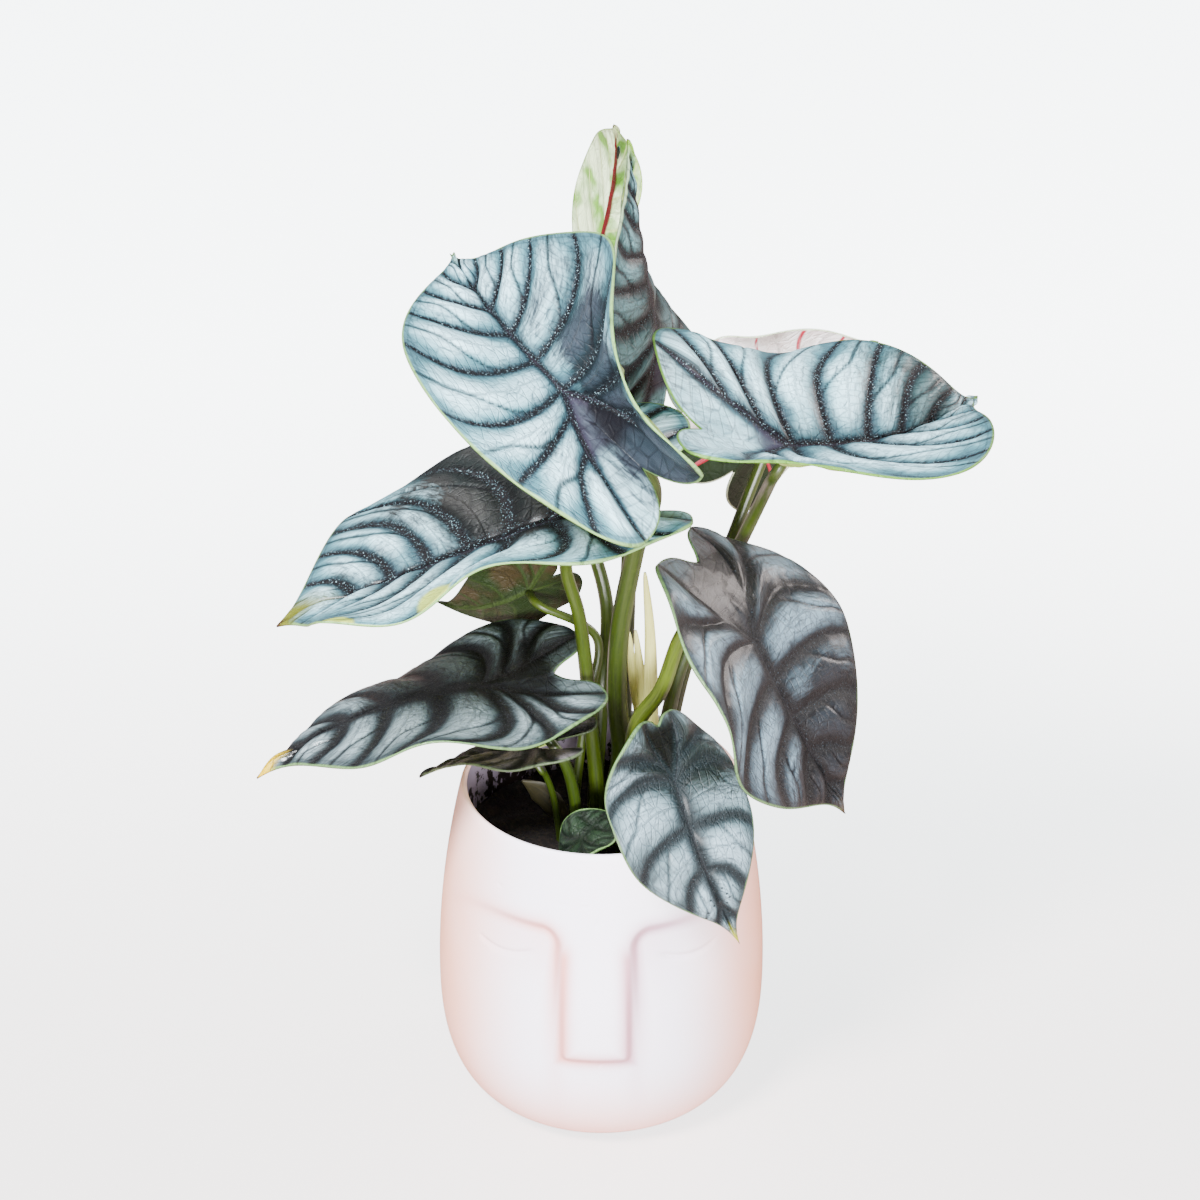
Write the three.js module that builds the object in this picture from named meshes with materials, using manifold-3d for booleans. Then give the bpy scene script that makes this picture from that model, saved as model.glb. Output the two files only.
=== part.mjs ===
// A potted alocasia: twelve shield-shaped leaves on fleshy stalks, standing in the soil of a round face pot.
// Millimetres, +Z up, the pot's foot on z = 0 and its face towards -Y.
import * as THREE from "three";
import Module from "manifold-3d";

// Pot
const potHeight = 158;
const footRadius = 43;
const bellyRadius = 75;
const bellyHeight = 60;
const mouthInset = 12; // the outer wall leans in this far from the belly to the rim
const leanPower = 1.9;
const bellyPower = 2.5;
const rimWall = 2.6; // the wall's thickness at the rim
const bodyWall = 6.4; // and from the soil downwards, where the face is sunk into it
const floorHeight = 7;

// The face on the pot: a raised nose between two sunk eye hollows under a brow
const faceTurn = -2; // degrees from -Y towards +X
const noseHalfAngle = 11.3;
const noseFoot = 56;
const noseRise = 2.2;
const browTop = 125;
const browEdge = 38; // degrees from the nose, past which the brow drops
const hollowDepth = 3.4;
const hollowSlope = 6; // the width of the slope from the brow and the nose down into a hollow
const noseSlope = 4; // and of the nose's own edges
const browCorner = 12;
const millimetrePerDegree = 1.3;

// Soil and stalks
const soilHeight = 126;
const gap = 0.3;
const holeGap = 0.38; // the clearance of a stalk in its hole in the soil
const stalkRoot = 112; // the stalks end here, in holes in the soil
const stalkSides = 8;

// Leaf blades
const bladeHalf = 0.4; // half of the blade's thickness
const keelDepth = 1; // the midrib and the two rear ribs stand this far below the blade
const hubShare = 0.3; // share of the vein coordinate that lies along the rear ribs
const rearCrowd = 0.55; // below 1, the rear veins spring closer to the hub
const veinArch = 0.4; // the veins beside the hub set out backwards by this share of their reach
const widestShare = 0.42; // share of the outer margin behind the widest point
const acrossShares = [0.1, 0.4, 0.72, 1];
const innerShares = [0.5, 1];

// One entry a leaf. Angles are in degrees. Pairs are for the left and the right half, seen from the
// hub towards the tip with the upper face up. The hub is where the stalk meets the blade. hubReach
// is the share of the outer margin that the hub's veins reach, and rake leans the veins in front of
// them towards the tip.
const leaves = [
  {
    name: "upper_left",
    hub: [-16, -30, 363],
    length: 192, rear: 0.38, wide: 0.31, rightShare: 0.98, widest: 0.02,
    notch: 0.68, gape: 0.1, lobe: 0.54, drip: 0.02,
    azimuth: 129, rise: 19, roll: -52,
    bendFront: 36, bendRear: 25, sweep: 0, twist: 7,
    fold: [57, 20], foldGrowth: [-11, -28], curl: [1, 29],
    wave: [1.5, 17.5], waves: [2.1, 1.3], wavePhase: [50, 30],
    bulge: 3.8,
    hubReach: 0.44, rake: 1.45,
    rearVeins: 3, frontVeins: 6,
    stalkBase: 5.6, stalkTop: 3.2,
    route: [[4, 18, 126], [9.4, 14, 162], [7, 11, 192.6], [8.2, 4, 232.8], [14.4, -5, 275.7], [21, -15, 313]],
  },
  {
    name: "right",
    hub: [79.5, -18, 332],
    length: 189, rear: 0.37, wide: 0.31, rightShare: 0.92, widest: 0.32,
    notch: 0.66, gape: 0.1, lobe: 0.6, drip: 0.04,
    azimuth: 26, rise: -13, roll: 1,
    bendFront: -8, bendRear: -25, sweep: 35, twist: -8,
    fold: [53, 0], foldGrowth: [34, 21], curl: [-47, 27],
    wave: [12.5, 13], waves: [0.8, 1.1], wavePhase: [100, 35],
    bulge: 3.8,
    hubReach: 0.4, rake: 1.3,
    rearVeins: 3, frontVeins: 6,
    stalkBase: 3.8, stalkTop: 2.4,
    route: [[22, 20, 126], [29.3, 22, 173], [38.5, 28, 208.7], [60.6, 34, 257.3], [70.4, 16, 292.5]],
  },
  {
    name: "left",
    hub: [-22.5, -14, 294.5],
    length: 174, rear: 0.37, wide: 0.34, rightShare: 1.02, widest: 0.84,
    notch: 0.36, gape: 0.8, lobe: 0.46, drip: 0.11,
    azimuth: 176, rise: -24, roll: -3,
    bendFront: -1, bendRear: 17, sweep: 5, twist: 19,
    fold: [6, 31], foldGrowth: [-13, 6], curl: [11, -18],
    wave: [6, -3], waves: [2, 1.7], wavePhase: [115, -65],
    bulge: 3.6,
    hubReach: 0.26, rake: 0.85,
    rearVeins: 3, frontVeins: 6,
    stalkBase: 4, stalkTop: 2.4,
    route: [[-3, 9, 126], [-2, 8, 147], [-5, 8, 186.6], [-7, 7, 213], [-10, 1, 242], [-15.3, -4, 267]],
  },
  {
    name: "lower_left",
    hub: [-53.5, -3, 208],
    length: 155, rear: 0.33, wide: 0.35, rightShare: 1.02, widest: 0.22,
    notch: 0.66, gape: 0.5, lobe: 0.44, drip: 0.03,
    azimuth: 193, rise: 1, roll: 9,
    bendFront: 38, bendRear: -13, sweep: -9, twist: 10,
    fold: [-19, 4], foldGrowth: [-10, 0], curl: [27, -9],
    wave: [5, -8], waves: [1.9, 1.4], wavePhase: [80, 175],
    bulge: 2.8,
    hubReach: 0.4, rake: 1.25,
    rearVeins: 3, frontVeins: 5,
    stalkBase: 3, stalkTop: 2,
    route: [[-10, -7, 126], [-12.6, -14, 160.9], [-18.5, -19, 183], [-32, -12, 195]],
  },
  {
    name: "top",
    hub: [24.5, 62, 348],
    length: 129, rear: 0.33, wide: 0.31, rightShare: 0.81, widest: -0.12,
    notch: 0.6, gape: 0.1, lobe: 0.42, drip: 0.03,
    azimuth: 165, rise: 79, roll: -24,
    bendFront: -5, bendRear: 5, sweep: 0, twist: 20,
    fold: [-8, -28], foldGrowth: [0, -52], curl: [6, 0],
    wave: [2, 0], waves: [2, 2], wavePhase: [0, 0],
    bulge: 2.6,
    hubReach: 0.44, rake: 1.45,
    rearVeins: 2, frontVeins: 7,
    stalkBase: 4.4, stalkTop: 2.8,
    route: [[9, 36, 126], [11, 50, 190], [13, 66, 250], [14, 70, 320]],
  },
  {
    name: "right_back",
    hub: [77.5, 88, 291.5],
    length: 116, rear: 0.38, wide: 0.34, rightShare: 1.1, widest: 0.14,
    notch: 0.62, gape: 0.1, lobe: 0.48, drip: 0.03,
    azimuth: 2, rise: 52, roll: -90,
    bendFront: 42, bendRear: 7, sweep: 2, twist: -6,
    fold: [27, 8], foldGrowth: [5, 18], curl: [11, -20],
    wave: [-5, -9], waves: [1.8, 2], wavePhase: [120, -60],
    bulge: 2.4,
    hubReach: 0.44, rake: 1.45,
    rearVeins: 2, frontVeins: 5,
    stalkBase: 3.6, stalkTop: 2.2,
    route: [[26, 30, 126], [38, 42, 190], [62, 64, 255]],
  },
  {
    name: "hanging",
    hub: [65, -30, 245.5],
    length: 158, rear: 0.35, wide: 0.35, rightShare: 1, widest: 0.18,
    notch: 0.78, gape: 0.3, lobe: 0.52, drip: 0.03,
    azimuth: -9, rise: -65, roll: 23,
    bendFront: 12, bendRear: 32, sweep: 19, twist: 15,
    fold: [5, 3], foldGrowth: [23, 6], curl: [-20, 16],
    wave: [-4, -3.5], waves: [1.5, 2.6], wavePhase: [45, -95],
    bulge: 2.9,
    hubReach: 0.4, rake: 1.2,
    rearVeins: 2, frontVeins: 5,
    stalkBase: 4.2, stalkTop: 2.5,
    route: [[15, 4, 126], [14.5, -2, 182.2], [26.6, -8, 209.9], [35.7, -14, 241.4], [52, -14, 256]],
  },
  {
    name: "front",
    hub: [31, -64, 196],
    length: 113, rear: 0.26, wide: 0.31, rightShare: 0.98, widest: 0.08,
    notch: 0.86, gape: 0.3, lobe: 0.36, drip: 0.08,
    azimuth: -55, rise: -60, roll: 15,
    bendFront: 41, bendRear: 1, sweep: 23, twist: 30,
    fold: [-5, 16], foldGrowth: [9, -4], curl: [-39, -8],
    wave: [1, -4], waves: [1.8, 2.1], wavePhase: [15, -50],
    bulge: 2.4,
    hubReach: 0.42, rake: 1.3,
    rearVeins: 2, frontVeins: 4,
    stalkBase: 2.8, stalkTop: 2,
    route: [[9, -7, 126], [15, -20, 172], [24, -42, 208]],
  },
  {
    name: "young",
    hub: [-8, -36, 150],
    length: 37, rear: 0.43, wide: 0.42, rightShare: 1, widest: 0.06,
    notch: 0.62, gape: 0.1, lobe: 0.5, drip: 0.03,
    azimuth: 49, rise: 32, roll: -6,
    bendFront: 48, bendRear: 4, sweep: 0, twist: 32,
    fold: [-3, 4], foldGrowth: [12, -2], curl: [-12, 0],
    wave: [0, -0.5], waves: [2, 2.1], wavePhase: [0, 20],
    bulge: 1.1,
    hubReach: 0.44, rake: 1.45,
    rearVeins: 2, frontVeins: 3,
    stalkBase: 1.6, stalkTop: 1.3,
    route: [[-5, -12, 126], [-8, -22, 139]],
  },
  {
    name: "low",
    hub: [-32.5, -15, 183],
    length: 84, rear: 0.36, wide: 0.33, rightShare: 1, widest: -0.02,
    notch: 0.12, gape: 0.95, lobe: 0.4, drip: 0.03,
    azimuth: 164, rise: -14, roll: 7,
    bendFront: 20, bendRear: -7, sweep: -1, twist: 7,
    fold: [7, 5], foldGrowth: [3, 0], curl: [-3, 0],
    wave: [1.5, 0], waves: [2, 2], wavePhase: [5, 0],
    bulge: 1.8,
    hubReach: 0.44, rake: 1.45,
    rearVeins: 2, frontVeins: 5,
    stalkBase: 1.7, stalkTop: 1.3,
    route: [[-19, 2, 126], [-21.8, -2, 150.7], [-26, -8, 167.6]],
  },
  {
    name: "back_left",
    hub: [-33, 48, 228.5],
    length: 72, rear: 0.29, wide: 0.36, rightShare: 1, widest: -0.02,
    notch: 0.62, gape: 0.1, lobe: 0.4, drip: 0.03,
    azimuth: 174, rise: -35, roll: 64,
    bendFront: -46, bendRear: 0, sweep: 4, twist: 9,
    fold: [10, 6], foldGrowth: [0, -5], curl: [0, 4],
    wave: [0, -2], waves: [2, 2.1], wavePhase: [0, 15],
    bulge: 1.6,
    hubReach: 0.44, rake: 1.45,
    rearVeins: 2, frontVeins: 4,
    stalkBase: 2.4, stalkTop: 1.8,
    route: [[-13, 22, 126], [-7, 31, 175], [-2, 40, 208]],
  },
  {
    name: "top_back",
    hub: [-7.5, 119, 340.5],
    length: 157, rear: 0.3, wide: 0.2, rightShare: 1.34, widest: 0.24,
    notch: 0.62, gape: 0.1, lobe: 0.4, drip: 0,
    azimuth: 189, rise: 107, roll: 15,
    bendFront: 35, bendRear: 0, sweep: 41, twist: 52,
    fold: [6.5, 34.5], foldGrowth: [28, 5], curl: [-81, -24],
    wave: [-9, 2], waves: [1.8, 1.9], wavePhase: [0, -25],
    bulge: 2.2,
    hubReach: 0.44, rake: 1.45,
    rearVeins: 2, frontVeins: 6,
    stalkBase: 3.8, stalkTop: 2.4,
    route: [[-3, 33, 126], [0.3, 40, 180.9], [2, 64, 216], [-14, 76, 262], [-40, 88, 314]],
  },
];

// The pale pointed sheaths among the stalks, each from its foot to its tip
const sheathRadius = 2.5; // half of a sheath's thickness at its foot
const sheathWidth = 1.6; // its width over its thickness
const paleSheaths = [
  [[17, 12, 112], [18.3, 16.5, 150], [18.9, 19.8, 172], [14.6, 19, 198], [12.3, 18, 223.5]],
  [[17.5, 12, 112], [19.7, 15.5, 150], [21, 18, 172], [18.1, 17.5, 198], [15.2, 17, 225]],
  [[18, 12, 112], [22, 12.5, 150], [22, 10, 200], [21.3, 7, 231], [18.9, 4, 261]],
];

// The dark withered sheath that leans to the left inside the pot
const oldSheath = [[-16, 13, 114], [-17, 13, 127], [-21, 14, 134], [-28, 15, 142], [-36, 14, 148.5]];
const oldSheathHalf = [1.6, 2.2, 5.2, 5.6, 0.5];
const oldSheathThick = 0.7;

const rad = (degrees) => (degrees * Math.PI) / 180;
const mix = (a, b, t) => a + (b - a) * t;
const clamp = (v, low, high) => Math.min(high, Math.max(low, v));
const smooth = (v) => clamp(v, 0, 1) ** 2 * (3 - 2 * clamp(v, 0, 1));
const add = (a, b, k = 1) => a.map((v, i) => v + b[i] * k);
const dot = (a, b) => a[0] * b[0] + a[1] * b[1] + a[2] * b[2];
const cross = (a, b) => [
  a[1] * b[2] - a[2] * b[1],
  a[2] * b[0] - a[0] * b[2],
  a[0] * b[1] - a[1] * b[0],
];
const unit = (a) => a.map((v) => v / Math.hypot(...a));

function bezier(points, t) {
  let row = points;
  while (row.length > 1) {
    row = row.slice(1).map((p, i) => p.map((v, k) => mix(row[i][k], v, t)));
  }
  return row[0];
}

// The flat blade: x runs from the hub (0) towards the tip, y outwards on either half.

function outerMargin(leaf, share, width) {
  const rear = leaf.rear * leaf.length;
  const front = leaf.length - rear;
  const widest = leaf.widest * front;
  const lobeEnd = [-rear, leaf.lobe * width];
  const side = [widest, width];
  if (share < widestShare) {
    const rise = [-rear, mix(lobeEnd[1], width, 0.62)];
    const turn = [widest - 0.58 * (widest + rear), width];
    return bezier([lobeEnd, rise, turn, side], share / widestShare);
  }
  const run = [widest + 0.46 * (front - widest), width];
  const fall = [front - 0.3 * (front - widest), 0.16 * width];
  return bezier([side, run, fall, [front, 0]], (share - widestShare) / (1 - widestShare));
}

// From the lobe's end along the notch (share up to 0.5), then along the axis to the hub.
function innerMargin(leaf, share, width) {
  const rear = leaf.rear * leaf.length;
  const foot = -leaf.notch * rear;
  const lobe = leaf.lobe * width;
  if (share < 0.5) {
    const turn = [foot - 0.35 * (rear + foot), leaf.gape * lobe];
    return bezier([[-rear, lobe], [-rear, 0.25 * lobe], turn, [foot, 0]], share / 0.5);
  }
  return [foot * (1 - (share - 0.5) / 0.5), 0];
}

// The rear rib from the lobe's end to the hub, then the midrib from the hub to the tip.
function ribLine(leaf, s, width) {
  const rear = leaf.rear * leaf.length;
  const lobe = leaf.lobe * width;
  if (s < hubShare) {
    return bezier([[-rear, lobe], [-0.5 * rear, 0.62 * lobe], [0, 0]], (s / hubShare) ** rearCrowd);
  }
  return [((leaf.length - rear) * (s - hubShare)) / (1 - hubShare), 0];
}

function marginShare(leaf, s) {
  if (s < hubShare) {
    return (leaf.hubReach * s) / hubShare;
  }
  return leaf.hubReach + (1 - leaf.hubReach) * (1 - (1 - (s - hubShare) / (1 - hubShare)) ** leaf.rake);
}

// s follows the ribs from lobe end to tip. t is 0 on the rib, 1 on the margin and -1 in the notch.
function flatPoint(leaf, s, t, half) {
  const width = leaf.wide * leaf.length * (half < 0 ? leaf.rightShare : 1);
  const front = leaf.length * (1 - leaf.rear);
  const rib = ribLine(leaf, s, width);
  let point;
  if (t >= 0) {
    const margin = outerMargin(leaf, marginShare(leaf, s), width);
    const arch = veinArch * smooth(s / hubShare) * (1 - smooth((s - hubShare) / 0.3));
    const turn = [mix(rib[0], margin[0], 0.18) - arch * (margin[1] - rib[1]), mix(rib[1], margin[1], 0.7)];
    point = bezier([rib, turn, margin], t);
  } else {
    const inner = innerMargin(leaf, Math.min(1, s / hubShare), width);
    point = [mix(rib[0], inner[0], -t), mix(rib[1], inner[1], -t)];
  }
  const drip = clamp((point[0] - 0.8 * front) / (0.2 * front), 0, 1);
  return [point[0] + leaf.drip * leaf.length * drip ** 3, point[1]];
}

// The frame at the hub: along the midrib, to the left, and up from the blade.
function hubFrame(leaf) {
  const a = rad(leaf.azimuth);
  const e = rad(leaf.rise);
  const r = rad(leaf.roll);
  const along = [Math.cos(e) * Math.cos(a), Math.cos(e) * Math.sin(a), Math.sin(e)];
  const level = [-Math.sin(a), Math.cos(a), 0];
  const up = cross(along, level);
  const left = level.map((v, i) => v * Math.cos(r) + up[i] * Math.sin(r));
  return [along, left, level.map((v, i) => up[i] * Math.cos(r) - v * Math.sin(r))];
}

// The bent midrib as a row of stations, from 1.02 times the rear length to the drip tip.
function bentRib(leaf) {
  const frame = hubFrame(leaf);
  const turned = (v) => [0, 1, 2].map((k) => v[0] * frame[0][k] + v[1] * frame[1][k] + v[2] * frame[2][k]);
  const front = leaf.length * (1 - leaf.rear);
  const rear = 1.02 * leaf.rear * leaf.length;
  function run(end, count, span, bend) {
    const stations = [];
    for (let i = 0; i < count; i++) {
      const x = (end * i) / (count - 1);
      const u = x / span;
      const pitch = -rad(bend) * u;
      const yaw = end > 0 ? rad(leaf.sweep) * u : 0;
      const roll = rad(leaf.twist) * u;
      const t = [Math.cos(yaw) * Math.cos(pitch), Math.sin(yaw) * Math.cos(pitch), Math.sin(pitch)];
      const b = [-Math.sin(yaw), Math.cos(yaw), 0];
      const n = cross(t, b);
      const left = b.map((v, k) => v * Math.cos(roll) + n[k] * Math.sin(roll));
      const up = b.map((v, k) => n[k] * Math.cos(roll) - v * Math.sin(roll));
      stations.push({ x, along: turned(t), left: turned(left), up: turned(up), at: leaf.hub });
    }
    for (let i = 1; i < count; i++) {
      const before = stations[i - 1];
      const middle = before.along.map((v, k) => (v + stations[i].along[k]) / 2);
      stations[i].at = add(before.at, middle, stations[i].x - before.x);
    }
    return stations;
  }
  const ahead = run(front + leaf.drip * leaf.length, 61, front, leaf.bendFront);
  const behind = run(-rear, 30, rear, leaf.bendRear);
  return [...behind.reverse(), ...ahead.slice(1)];
}

// A flat point on the bent blade, with each half's fold, curl and margin waves.
function bentPoint(leaf, stations, flat, half) {
  const side = half > 0 ? 0 : 1;
  const eta = Math.abs(flat[1]);
  const rear = leaf.rear * leaf.length;
  const width = leaf.wide * leaf.length;
  let i = 1;
  while (i < stations.length - 1 && stations[i].x < flat[0]) {
    i++;
  }
  const [p, q] = [stations[i - 1], stations[i]];
  const f = clamp((flat[0] - p.x) / (q.x - p.x), 0, 1);
  const between = (key) => p[key].map((v, k) => mix(v, q[key][k], f));
  const left = unit(between("left"));
  const up = unit(between("up"));
  const start = rad(leaf.fold[side] + (leaf.foldGrowth[side] * flat[0]) / (leaf.length - rear));
  const turn = rad(leaf.curl[side]) / width;
  const middle = (turn * eta) / 2;
  const chord = Math.abs(middle) > 1e-9 ? (eta * Math.sin(middle)) / middle : eta;
  const end = start + turn * eta;
  const cycles = (leaf.waves[side] * (flat[0] + rear)) / leaf.length;
  const phase = 2 * Math.PI * cycles + rad(leaf.wavePhase[side]);
  const wave = leaf.wave[side] * (eta / width) ** 2 * Math.sin(phase);
  const outwards = half * (chord * Math.cos(start + middle) - wave * Math.sin(end));
  const upwards = chord * Math.sin(start + middle) + wave * Math.cos(end);
  return add(add(between("at"), left, outwards), up, upwards);
}

// The panels between the side veins swell, highest halfway from vein to vein.
function panelLift(leaf, s, t) {
  if (t <= 0) {
    return 0;
  }
  const rearPart = (leaf.rearVeins * s) / hubShare;
  const frontPart = leaf.rearVeins + (leaf.frontVeins * (s - hubShare)) / (1 - hubShare);
  const vein = s < hubShare ? rearPart : frontPart;
  return leaf.bulge * Math.sin(Math.PI * vein) ** 2 * (4 * t * (1 - t)) ** 0.6;
}

function meshOf(points, triangles) {
  const geometry = new THREE.BufferGeometry();
  geometry.setAttribute("position", new THREE.Float32BufferAttribute(points.flat(), 3));
  geometry.setIndex(triangles.flat());
  geometry.computeVertexNormals();
  return geometry;
}

// The blade's middle surface, then its two faces split into the same triangles, and the edge between.
function leafGeometry(leaf) {
  const stations = bentRib(leaf);
  const rearSteps = 2 * leaf.rearVeins;
  const steps = rearSteps + 2 * leaf.frontVeins;
  const share = (i) =>
    i <= rearSteps ? (hubShare * i) / rearSteps : mix(hubShare, 1, (i - rearSteps) / (steps - rearSteps));
  const outwards = [0, ...acrossShares];
  const inwards = [0, ...innerShares.map((t) => -t)];
  const rows = [];
  const places = new Map();

  function place(half, i, t) {
    let key = [half, i, t].join();
    if (i === 0) {
      key = "lobe" + half;
    } else if (i === steps) {
      key = "tip";
    } else if (i >= rearSteps && t <= 0) {
      key = "midrib" + i;
    } else if (t === -1 && i >= rearSteps / 2) {
      key = "axis" + i;
    }
    if (!places.has(key)) {
      const s = share(i);
      places.set(key, rows.length);
      rows.push({
        at: bentPoint(leaf, stations, flatPoint(leaf, s, t, half), half),
        lift: panelLift(leaf, s, t),
        keel: t === 0 ? keelDepth * smooth(s / hubShare) * smooth((1 - s) / 0.35) : 0,
        normal: [0, 0, 0],
      });
    }
    return places.get(key);
  }

  const skin = [];
  for (const half of [1, -1]) {
    for (const [shares, last, turn] of [[outwards, steps, half], [inwards, rearSteps, -half]]) {
      for (let i = 0; i < last; i++) {
        for (let k = 0; k + 1 < shares.length; k++) {
          const a = place(half, i, shares[k]);
          const b = place(half, i + 1, shares[k]);
          const c = place(half, i + 1, shares[k + 1]);
          const d = place(half, i, shares[k + 1]);
          const faces = i % 2 ? [[a, b, d], [b, c, d]] : [[a, b, c], [a, c, d]];
          for (const f of faces) {
            if (f[0] !== f[1] && f[1] !== f[2] && f[0] !== f[2]) {
              skin.push(turn > 0 ? f : [f[0], f[2], f[1]]);
            }
          }
        }
      }
    }
  }
  for (const [a, b, c] of skin) {
    const n = cross(add(rows[b].at, rows[a].at, -1), add(rows[c].at, rows[a].at, -1));
    for (const v of [a, b, c]) {
      rows[v].normal = add(rows[v].normal, n);
    }
  }
  const upper = [];
  const lower = [];
  for (const row of rows) {
    const n = unit(row.normal);
    upper.push(add(row.at, n, row.lift + bladeHalf));
    lower.push(add(row.at, n, row.lift - bladeHalf - row.keel));
  }
  const count = rows.length;
  const edges = new Set(skin.flatMap(([a, b, c]) => [[a, b], [b, c], [c, a]].map(String)));
  const triangles = [];
  for (const [a, b, c] of skin) {
    triangles.push([a, b, c], [a + count, c + count, b + count]);
    for (const [p, q] of [[a, b], [b, c], [c, a]]) {
      if (!edges.has(String([q, p]))) {
        triangles.push([q, p, p + count], [q, p + count, q + count]);
      }
    }
  }
  return meshOf([...upper, ...lower], triangles);
}

// A smooth path through the given points, with so many steps from each to the next.
function smoothPath(points, steps) {
  const n = points.length;
  const padded = [
    points[0].map((v, k) => 2 * v - points[1][k]),
    ...points,
    points[n - 1].map((v, k) => 2 * v - points[n - 2][k]),
  ];
  const path = [];
  for (let i = 1; i < n; i++) {
    const [a, b, c, d] = padded.slice(i - 1, i + 3);
    for (let j = 0; j < steps; j++) {
      const t = j / steps;
      path.push(
        b.map((v, k) => {
          const first = c[k] - a[k];
          const second = 2 * a[k] - 5 * v + 4 * c[k] - d[k];
          const third = 3 * v - a[k] - 3 * c[k] + d[k];
          return 0.5 * (2 * v + first * t + second * t * t + third * t ** 3);
        }),
      );
    }
  }
  path.push(points[n - 1]);
  return path;
}

// A closed skin along a path. halves gives each ring's two half sizes, the second along "across".
// The last ring lies square to endAlong where that is given.
function sweptGeometry(path, halves, sides, across, endAlong) {
  const points = [];
  const triangles = [];
  let reference = across;
  path.forEach((at, i) => {
    const before = path[Math.max(0, i - 1)];
    const after = path[Math.min(path.length - 1, i + 1)];
    const along = endAlong && i === path.length - 1 ? endAlong : unit(add(after, before, -1));
    reference = unit(add(reference, along, -dot(reference, along)));
    const other = cross(along, reference);
    for (let k = 0; k < sides; k++) {
      const angle = (2 * Math.PI * k) / sides;
      const level = add(at, reference, halves[i][1] * Math.cos(angle));
      points.push(add(level, other, halves[i][0] * Math.sin(angle)));
    }
  });
  for (let i = 0; i + 1 < path.length; i++) {
    for (let k = 0; k < sides; k++) {
      const a = i * sides + k;
      const b = i * sides + ((k + 1) % sides);
      triangles.push([a, b, b + sides], [a, b + sides, a + sides]);
    }
  }
  const last = (path.length - 1) * sides;
  for (let k = 1; k + 1 < sides; k++) {
    triangles.push([0, k + 1, k], [last, last + k, last + k + 1]);
  }
  return meshOf(points, triangles);
}

// A stalk runs from its root in the soil to just below the blade's hub, which it meets square on.
function stalkPoints(leaf) {
  const [along, , up] = hubFrame(leaf);
  const top = leaf.stalkTop;
  const sag = top * Math.sin(rad(Math.max(0, -leaf.fold[0], -leaf.fold[1])));
  const [x, y] = leaf.route[0];
  const below = add(add(leaf.hub, up, -(9 + 2 * top)), along, -(3 + top));
  const end = add(leaf.hub, up, -(bladeHalf + keelDepth + gap + sag));
  return [[x, y, stalkRoot], ...leaf.route, below, end];
}

function stalkGeometry(leaf, extra = 0, only = Infinity) {
  const path = smoothPath(stalkPoints(leaf), 2);
  const radius = (i) => mix(leaf.stalkBase, leaf.stalkTop, i / (path.length - 1)) + extra;
  const kept = path.slice(0, Math.min(path.length, only));
  kept[0] = add(kept[0], [0, 0, -extra]);
  const halves = kept.map((p, i) => [radius(i), radius(i)]);
  const end = kept.length === path.length ? hubFrame(leaf)[2] : undefined;
  return sweptGeometry(kept, halves, stalkSides, [0, -1, 0], end);
}

function potRadius(z) {
  if (z > bellyHeight) {
    return bellyRadius - mouthInset * ((z - bellyHeight) / (potHeight - bellyHeight)) ** leanPower;
  }
  const arc = (1 - ((bellyHeight - z) / bellyHeight) ** bellyPower) ** (1 / bellyPower);
  return footRadius + (bellyRadius - footRadius) * arc;
}

// How far the face stands out of (or sinks into) the wall. The angle is counted from the nose.
function faceRelief(angle, z) {
  const aside = Math.abs(angle);
  const across = (aside - noseHalfAngle) * millimetrePerDegree;
  const drop = 0.012 * Math.max(0, aside - browEdge) ** 2;
  const below = browTop - drop - z;
  const inside = browCorner - Math.hypot(Math.max(0, browCorner - across), Math.max(0, browCorner - below));
  const fade = Math.exp(-((below / 45) ** 2) - (Math.max(0, across) / 42) ** 2);
  const hollow = hollowDepth * smooth(inside / hollowSlope) * fade;
  const edge = (noseHalfAngle + 1.5 - aside) * millimetrePerDegree;
  const foot = 5 - Math.hypot(Math.max(0, 5 - edge), Math.max(0, 5 - (z - noseFoot)));
  return noseRise * smooth(foot / noseSlope) * smooth((122 - z) / 50) - hollow;
}

const sideAngles = [5.5, 10.4, 11.8, 13.4, 16.5, 21, 27, 34, 42, 51, 61, 72, 84, 96, 109, 122, 136, 150, 165];
const potAngles = [...sideAngles.map((a) => -a).reverse(), 0, ...sideAngles, 180];

// A skin turned about the pot's axis. Each profile entry is a radius and a height for an angle;
// the first and the last lie on the axis.
function turnedGeometry(profile) {
  const sides = potAngles.length;
  const points = [];
  const ring = profile.map((entry, j) => {
    const start = points.length;
    const pole = j === 0 || j === profile.length - 1;
    for (const angle of pole ? [0] : potAngles) {
      const [r, z] = entry(angle);
      const phi = rad(angle + faceTurn);
      points.push([r * Math.sin(phi), -r * Math.cos(phi), z]);
    }
    return (i) => (pole ? start : start + (i % sides));
  });
  const triangles = [];
  for (let j = 0; j + 1 < profile.length; j++) {
    for (let i = 0; i < sides; i++) {
      const [a, b, c, d] = [ring[j](i), ring[j](i + 1), ring[j + 1](i + 1), ring[j + 1](i)];
      if (a !== b) {
        triangles.push([a, b, c]);
      }
      if (c !== d) {
        triangles.push([a, c, d]);
      }
    }
  }
  return meshOf(points, triangles);
}

// The cavity's wall, from the rim down to the floor
const cavityHeights = [156, 146, 136, soilHeight, 116, 90, 62, 42];
const cavity = [
  ...cavityHeights.map((z) => [potRadius(z) - mix(bodyWall, rimWall, smooth((z - 114) / 36)), z]),
  [65, 25],
  [59.5, 15],
  [53, 9.5],
  [45, floorHeight],
];

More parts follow.
